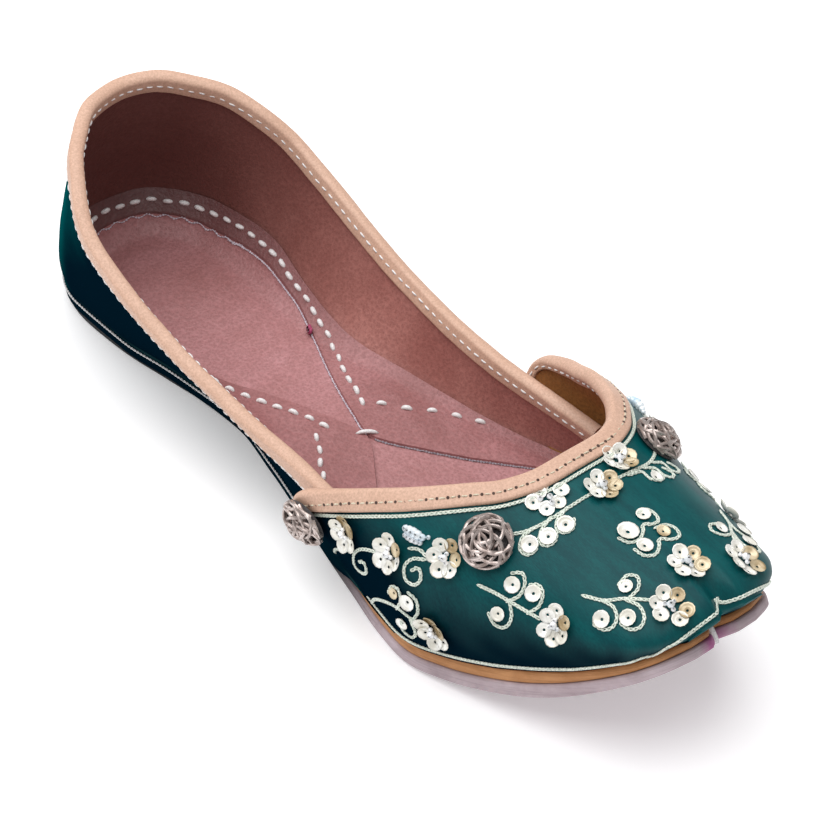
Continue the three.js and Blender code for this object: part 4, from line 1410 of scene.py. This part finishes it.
# stems and curls, each a few (s, q) places with q towards the wearer's right
MAIN_VINE = [(198, 27), (200.5, 24), (202.6, 19.5), (204, 12), (204.5, 5)]
NEAR_SPRIG = [
    [(199.5, 41.5), (204, 40.1), (209, 39), (214, 38), (217.5, 37.3)],
    [(208.5, 39), (210.2, 36), (209.6, 33), (207.5, 31.7), (205.6, 33)],
    [(215, 37.6), (216.4, 34.6), (215.4, 31.8), (213.2, 31), (211.6, 32)],
    [(209, 39.5), (210.8, 41.6), (211, 44), (209.4, 46.4), (207, 47), (205.2, 46)],
]
TOE_SPRIG = [
    [(225.3, 25.3), (230, 23), (233.5, 19.5), (238, 15.6)],
    [(234.4, 18.4), (234.2, 15.2), (232, 13.3), (230, 14.6), (230, 17.2)],
    [(234.5, 19.2), (237.5, 18.3), (240.2, 19.6), (241, 22), (239.6, 23.9), (237.6, 24.3)],
    [(230, 23.2), (233, 22.7), (235.4, 24), (236, 26.2), (234.6, 28.2), (232.4, 28.8)],
]
SIDE_SPRIG = [
    [(164, 80), (168, 73), (173, 68.5), (178, 66), (183, 65.5)],
    [(178.6, 65.7), (179.5, 62.2), (178, 59.9), (175.6, 60.8), (174.9, 63)],
    [(184.2, 65), (185.3, 61.2), (184, 58.3), (182, 58.2)],
    [(183.4, 66.5), (184.8, 70), (183, 73.2), (180.2, 73), (180, 70)],
]
CURLS = [
    [(182, 47.4), (179, 49.6), (177.8, 52.6), (179.6, 55.4), (182.4, 54.8), (183.5, 52), (182, 50.2),
     (180.6, 51.6)],
    [(177.4, 47.6), (179.6, 46.3), (181.6, 46.2)],
    [(170.5, 55), (166, 56.6), (161.8, 59.6), (160, 63), (160.4, 67.4), (163, 67), (165.4, 64.2),
     (164.4, 62), (162.8, 63)],
    [(158, 63), (154, 66.5), (150.5, 70.5), (148, 75), (146, 79)],
]
VINE_CURLS = [
    [(203.9, 12.6), (205, 16.6), (206.6, 18), (208.8, 17.2), (209.4, 15), (208, 13.4)],
    [(203, 17.4), (204, 21.4), (205.8, 23.2), (208, 22.4), (208.5, 20.2), (207.2, 18.8)],
    [(201.6, 22), (201.2, 25.6), (202.8, 27.8), (205.2, 27.6), (206.2, 25.4), (205, 23.5)],
]
FAR_VINE = [(204.6, -4), (204.6, -10), (204, -16.5), (202, -21), (199.5, -24.5)]
FAR_LEAVES = [
    [(205.4, -8.5), (206.2, -12.4), (208.6, -12.4), (210.6, -14.4), (209.6, -16.8), (207.4, -16)],
    [(205, -14), (206.6, -17.4), (209, -17.6), (210.4, -19.8), (209, -21.8), (207, -20.6)],
    [(204, -18.6), (205, -22.2), (207.4, -22.4), (208.4, -25), (206.6, -26.8), (204.8, -25.2)],
]
CLOVER = [
    [(216.9, -1), (217.2, -3.2), (219.6, -4), (222.2, -3), (222.2, -0.8), (220.9, 0.8), (222.6, 2.6),
     (224, 5.4), (223, 7.8), (220.8, 8.6)],
    [(223.8, -1), (224.4, -3.6), (226.6, -4.8), (229.4, -3.6), (229, -1), (227.2, 1), (229, 3),
     (230.2, 5.4), (228.6, 7.8), (226.2, 8.2)],
]


def mirrored(lines):
    return [[(s, -q) for s, q in line] for line in lines]


SPRIGS = NEAR_SPRIG + TOE_SPRIG + SIDE_SPRIG + CURLS
for line in [MAIN_VINE, FAR_VINE] + SPRIGS + mirrored(SPRIGS) + VINE_CURLS + FAR_LEAVES + CLOVER:
    chain(line)
throat_chain()
border_chain()
scatter("chain_stitch", CHAIN_LINK, CREAM_CORD, np.concatenate(links["points"]),
        np.concatenate(links["up"]), np.concatenate(links["ahead"]))

# ---------------------------------------------------------------- sequins and beads
# s, q, size of single sequins
SINGLES = [(207.3, 15.6, 1), (206.4, 20.8, 1), (204, 25.3, 1), (220.3, 5.8, 1.25), (226.5, 5.7, 0.95),
           (218.3, -1.4, 0.85), (231.8, 17, 0.8), (237.5, 22.2, 0.95), (232.7, 26.7, 1), (207, 35.4, 0.95),
           (213.2, 33.4, 0.95), (207.2, 43.8, 0.85), (181.8, 61, 1), (180.4, 70, 0.8), (209.2, -14.6, 0.8)]
GOLD_SINGLES = [(225.8, -1.4, 0.8), (176.8, 62, 0.7)]
# the far side has its own vine, so only the sprigs' sequins are mirrored
VINE_SINGLES = SINGLES[:3]
FAR_SINGLES = [(s, -q, k) for s, q, k in SINGLES if q > 9 and s > 205 and (s, q, k) not in VINE_SINGLES]
FAR_SINGLES += [(181.8, -61, 1), (180.4, -70, 0.8), (176.8, -62, 0.7)]
# s, q, turn of flowers of six sequins round a bead
FLOWERS = [(204.6, 0.6, 0.2), (236.7, 1.2, 0.1), (242.2, 13.2, 0.4), (222.9, 35.6, 0.2), (187, 43, 0.5),
           (172, 53, 0.1), (156, 58.5, 0.3), (190.3, 64, 0.2), (199.8, -9.6, 0.6)]
FAR_FLOWERS = [(s, -q, turn) for s, q, turn in FLOWERS if q > 9]
PETAL_REACH, PETAL_LEAN, SEQUIN_LIFT, SEQUIN_LEAN = 3.35, 0.4, 0.15, 0.1
# s, q, size of the loose cluster of sequins below the throat
CLUSTER = [(198.7, 9.8, 0.95), (196.3, 17.4, 0.95), (194, 12.8, 0.8), (195.4, 14.4, 0.8), (200.3, 16, 0.9),
           (201, 12.6, 0.85)]
CLUSTER_BEADS = [(200.2, 14.2), (198.4, 13.4), (197, 15.6)]
# rows of a small leaf of beads: kind, s, q, pitch, size at its ends, how much larger in its middle
LEAF_OF_BEADS = [("blue", 173.6, 44.4, 1.35, 0.95, 0.45), ("bead", 174.3, 45.9, 1.2, 0.7, 0.3)]
LEAF_TIP = (180.3, 42.2, 0.6)


def sequins_and_beads():
    """Sequins sewn flat, and flowers of lifted sequins round beads."""
    rng = np.random.default_rng(SEED)
    laid = {"cream": [], "gold": [], "bead": [], "blue": []}
    tip_s, tip_q, tip_size = LEAF_TIP

    def lay(kind, s, q, height, size, lean=0.0, way=0.0):
        """One sequin or bead, lifted by lean towards way."""
        n, along, across = cloth_frame(s, q)
        ahead = along * math.cos(way) + across * math.sin(way)
        up = n * math.cos(lean) - ahead * math.sin(lean)
        laid[kind].append((on_cloth(s, q, height), up, np.cross(np.cross(up, ahead), up), size))

    for s, q, size in SINGLES + FAR_SINGLES + CLUSTER:
        lay("cream", s, q, SEQUIN_LIFT, size, SEQUIN_LEAN, rng.uniform(0, 6))
    for s, q, size in GOLD_SINGLES:
        lay("gold", s, q, SEQUIN_LIFT, size, SEQUIN_LEAN, rng.uniform(0, 6))
    for s, q, turn in FLOWERS + FAR_FLOWERS:
        for k in range(6):
            way = turn + k * math.pi / 3 + rng.uniform(-0.12, 0.12)
            reach = PETAL_REACH * rng.uniform(0.92, 1.1)
            # petals that point one way round each flower take the tan finish: painted shade for petals
            # turned from the light
            kind = "gold" if abs((way + 0.9) % (2 * math.pi) - math.pi) > 2.1 else "cream"
            lay(kind, s + reach * math.cos(way), q + reach * math.sin(way), 0.45 + 0.12 * (k % 2),
                rng.uniform(0.85, 1.0), PETAL_LEAN * rng.uniform(0.5, 1.3), way)
        lay("bead", s, q, 0.55, 1.0)
        for k in range(3):
            way = turn + k * 2.1
            lay("bead", s + 1.2 * math.cos(way), q + 1.2 * math.sin(way), 0.5, 0.62)
    for s, q in CLUSTER_BEADS:
        lay("bead", s, q, 0.3, 0.8)
    for side_sign in (1, -1):
        for k in range(5):
            swell = math.sin(math.pi * k / 4)
            for kind, s, q, pitch, size, more in LEAF_OF_BEADS:
                lay(kind, s + k * pitch, side_sign * (q - 0.3 * k), 0.1, size + more * swell)
        lay("blue", tip_s, side_sign * tip_q, 0.1, tip_size)
    for kind, motif, finish in (("cream", SEQUIN, SEQUIN_CREAM), ("gold", SEQUIN, SEQUIN_GOLD_AND_SHADED),
                                ("bead", BEAD, BEAD_WHITE), ("blue", BEAD, BEAD_BLUE)):
        points, up, ahead, size = (np.array(x, float) for x in zip(*laid[kind]))
        scatter(f"embroidery_{kind}", motif, finish, points, up, ahead, size)


sequins_and_beads()

# ---------------------------------------------------------------- bullion knots
# name, s, around and height over the cloth, as in the part's source
KNOTS = [("rosette_right", 142.5, 0.86, 1.3), ("rosette_centre", 194.5, 0.47, 0.3),
         ("rosette_left", 196.0, -0.41, 0.3)]
WIRE_RADIUS, KNOT_REACH, KNOT_TOP, KNOT_FOOT = 0.5, 7.1, 3.2, 6.2
# strands of a knot, ring by ring: how many, how far out, half length, bow, slant in degrees, height
STRAND_RINGS = [
    (7, 5.5, 4.6, 2.6, 14, 0.0), (7, 5.0, 4.8, 2.4, -34, 0.5), (6, 4.0, 4.6, 2.6, 38, 1.0),
    (5, 2.8, 4.6, 2.6, -42, 1.5), (4, 1.5, 4.4, 2.2, 30, 2.1), (3, 0.2, 3.0, 1.4, 10, 2.7),
]


def bullion_knot(name, s, around, lift, seed):
    """Strands of coiled wire laid over each other in a round heap, over a near-black dome of painted shade
    for the gaps between them.
    """
    rng = np.random.default_rng(SEED + seed)
    centre_point = vamp_outer(s, around)
    n = vamp_normal(s, around)
    along = vamp_ways(s, around)[0]
    along = unit(along - n * (along * n).sum())
    across = np.cross(n, along)

    def dome(r):
        return lift + 0.3 + KNOT_TOP * np.sqrt(np.clip(1 - (r / KNOT_REACH) ** 2, 0, 1))

    def spot(x, y, height):
        return centre_point + x[..., None] * along + y[..., None] * across + height[..., None] * n

    parts = []
    for count, away, reach, bow, slant, over in STRAND_RINGS:
        for k in range(count):
            turn = 2 * math.pi * (k + seed * 0.31 + rng.uniform(-0.22, 0.22)) / count
            lean = math.radians(slant + rng.uniform(-12, 12))
            run = np.linspace(-reach, reach, 36) * rng.uniform(0.85, 1.1)
            bend = bow * (0.4 - (run / reach) ** 2)
            x = run * math.cos(lean) - bend * math.sin(lean)
            y = away + run * math.sin(lean) + bend * math.cos(lean)
            px, py = x * math.cos(turn) - y * math.sin(turn), x * math.sin(turn) + y * math.cos(turn)
            far = np.maximum(1, np.hypot(px, py) / (KNOT_REACH - 0.5))
            px, py = px / far, py / far
            rest = np.linspace(rng.uniform(0, 0.4), rng.uniform(0, 0.4), 36)
            height = mix(dome(np.hypot(px, py)) + 0.6 * over + rest, lift + 0.5, 0.6 * (run / run[-1]) ** 4)
            path = resample(spot(px, py, height), 0.35)
            parts.append(tube(path, n[None, :] + 0 * path, WIRE_RADIUS, 7))
    wires = sum(len(faces) for _, faces in parts)
    # under the strands, a dark dome of painted shade that shows in their gaps
    angle = full_turn(28)
    base = [(KNOT_FOOT, lift)] + [(r, dome(r) - 0.95) for r in (6, 5, 3.6, 2, 0.4)]
    rings = [spot(r * np.cos(angle), r * np.sin(angle), full(height, angle)) for r, height in base]
    parts.append(sweep(np.stack(rings)))
    points, faces = merge(parts)
    kind = [0] * wires + [1] * (len(faces) - wires)
    return piece(f"{name}_wire", points, faces, [WIRE, KNOT_PAINTED_SHADE], slot="wire", face_finish=kind)


knots = {knot[0]: bullion_knot(*knot, 20 + number) for number, knot in enumerate(KNOTS)}


# ---------------------------------------------------------------- cords on the quarters
def quarter_cord(name, at, span, radius):
    """Twisted cord laid round the quarters; at gives its place at a row."""
    t = np.linspace(-span, span, 900)
    n = quarter_normal(t, 0.06)
    path = resample(at(t), 0.5)
    return piece(name, *two_ply(path, nearest_normals(path, at(t), n), radius, 2.4), WHITE_THREAD)


quarter_cord("collar_edge_cord", lambda t: collar_at(t, 0.4, -5.5), 9.6, 0.34)
quarter_cord("foot_edge_cord", lambda t: skirt_at(t, 0.62, 0.2), 8.4, 0.27)


def toe_stitch():
    """Short flat cord over the sole's edge, in the notch of the toe."""
    high = np.linspace(2.4, 7.4, 14)
    path = on_sole(full(LENGTH + 0.3, high), 1.2, high)
    radius = 0.95 - 0.3 * np.abs(np.linspace(-1, 1, len(high))) ** 3
    return piece("toe_stitch", *tube(path, [1.0, 0.0, 0.2], radius, 10, 0.55), WHITE_THREAD)


toe_stitch()


# ---------------------------------------------------------------- setting up the view
EYE, AIM = np.array([572.6, 439.2, 579.0]), np.array([131.0, -3.0, 27.0])
ROLL, LENS, SENSOR = math.radians(4.6), 136, 36


def toward(p):
    return Vector((-p[1], -p[0], p[2]))


camera = bpy.data.objects.new("camera", bpy.data.cameras.new("camera"))
bpy.context.scene.collection.objects.link(camera)
bpy.context.scene.camera = camera
camera.location = Vector(place(EYE).tolist())
look = toward(unit(AIM - EYE)).normalized()
side = look.cross(Vector((0, 0, 1))).normalized()
top = side.cross(look)
side_r = side * math.cos(ROLL) + top * math.sin(ROLL)
top_r = side_r.cross(look)
camera.matrix_world = Matrix((
    (side_r.x, top_r.x, -look.x, camera.location.x),
    (side_r.y, top_r.y, -look.y, camera.location.y),
    (side_r.z, top_r.z, -look.z, camera.location.z),
    (0, 0, 0, 1)))
camera.data.lens, camera.data.sensor_width, camera.data.clip_start = LENS, SENSOR, 0.05

floor_mesh = bpy.data.meshes.new("floor")
FLOOR_HALF = 3.0
floor_mesh.from_pydata([(-FLOOR_HALF, -FLOOR_HALF, 0), (FLOOR_HALF, -FLOOR_HALF, 0),
                        (FLOOR_HALF, FLOOR_HALF, 0), (-FLOOR_HALF, FLOOR_HALF, 0)], [], [(0, 1, 2, 3)])
floor = bpy.data.objects.new("floor", floor_mesh)
bpy.context.scene.collection.objects.link(floor)
floor_finish, _, floor_shader = new_finish("floor_white", Roughness=0.8, Specular_IOR_Level=0.2)
floor_shader.inputs["Base Color"].default_value = (0.93, 0.93, 0.94, 1)
floor_shader.inputs["Emission Color"].default_value = (1, 1, 1, 1)
floor_shader.inputs["Emission Strength"].default_value = 0.22
floor_mesh.materials.append(floor_finish)

world = bpy.data.worlds.new("studio")
bpy.context.scene.world = world
world.use_nodes = True
world.node_tree.nodes["Background"].inputs["Color"].default_value = (1, 1, 1, 1)
world.node_tree.nodes["Background"].inputs["Strength"].default_value = 0.42


light = bpy.data.lights.new("overhead", "AREA")
light.energy, light.size = 13, 1.3
overhead = bpy.data.objects.new("overhead", light)
bpy.context.scene.collection.objects.link(overhead)
overhead.location = Vector(place([-60, 120, 880]).tolist())
lit = Vector(place([120, 0, 20]).tolist())
overhead.rotation_euler = (lit - overhead.location).to_track_quat("-Z", "Y").to_euler()
bpy.context.scene.view_settings.view_transform = "Standard"

# ---------------------------------------------------------------- attaching to the body, and hiding the imported parts
for shown in bpy.context.scene.collection.objects:
    if shown.type == "MESH" and shown is not floor:
        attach(shown, "root")
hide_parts("outsole")
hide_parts("midsole")
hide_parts("upper")
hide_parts("collar_binding")
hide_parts("throat_binding")
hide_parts("insole")
for name, made in knots.items():
    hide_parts(name)
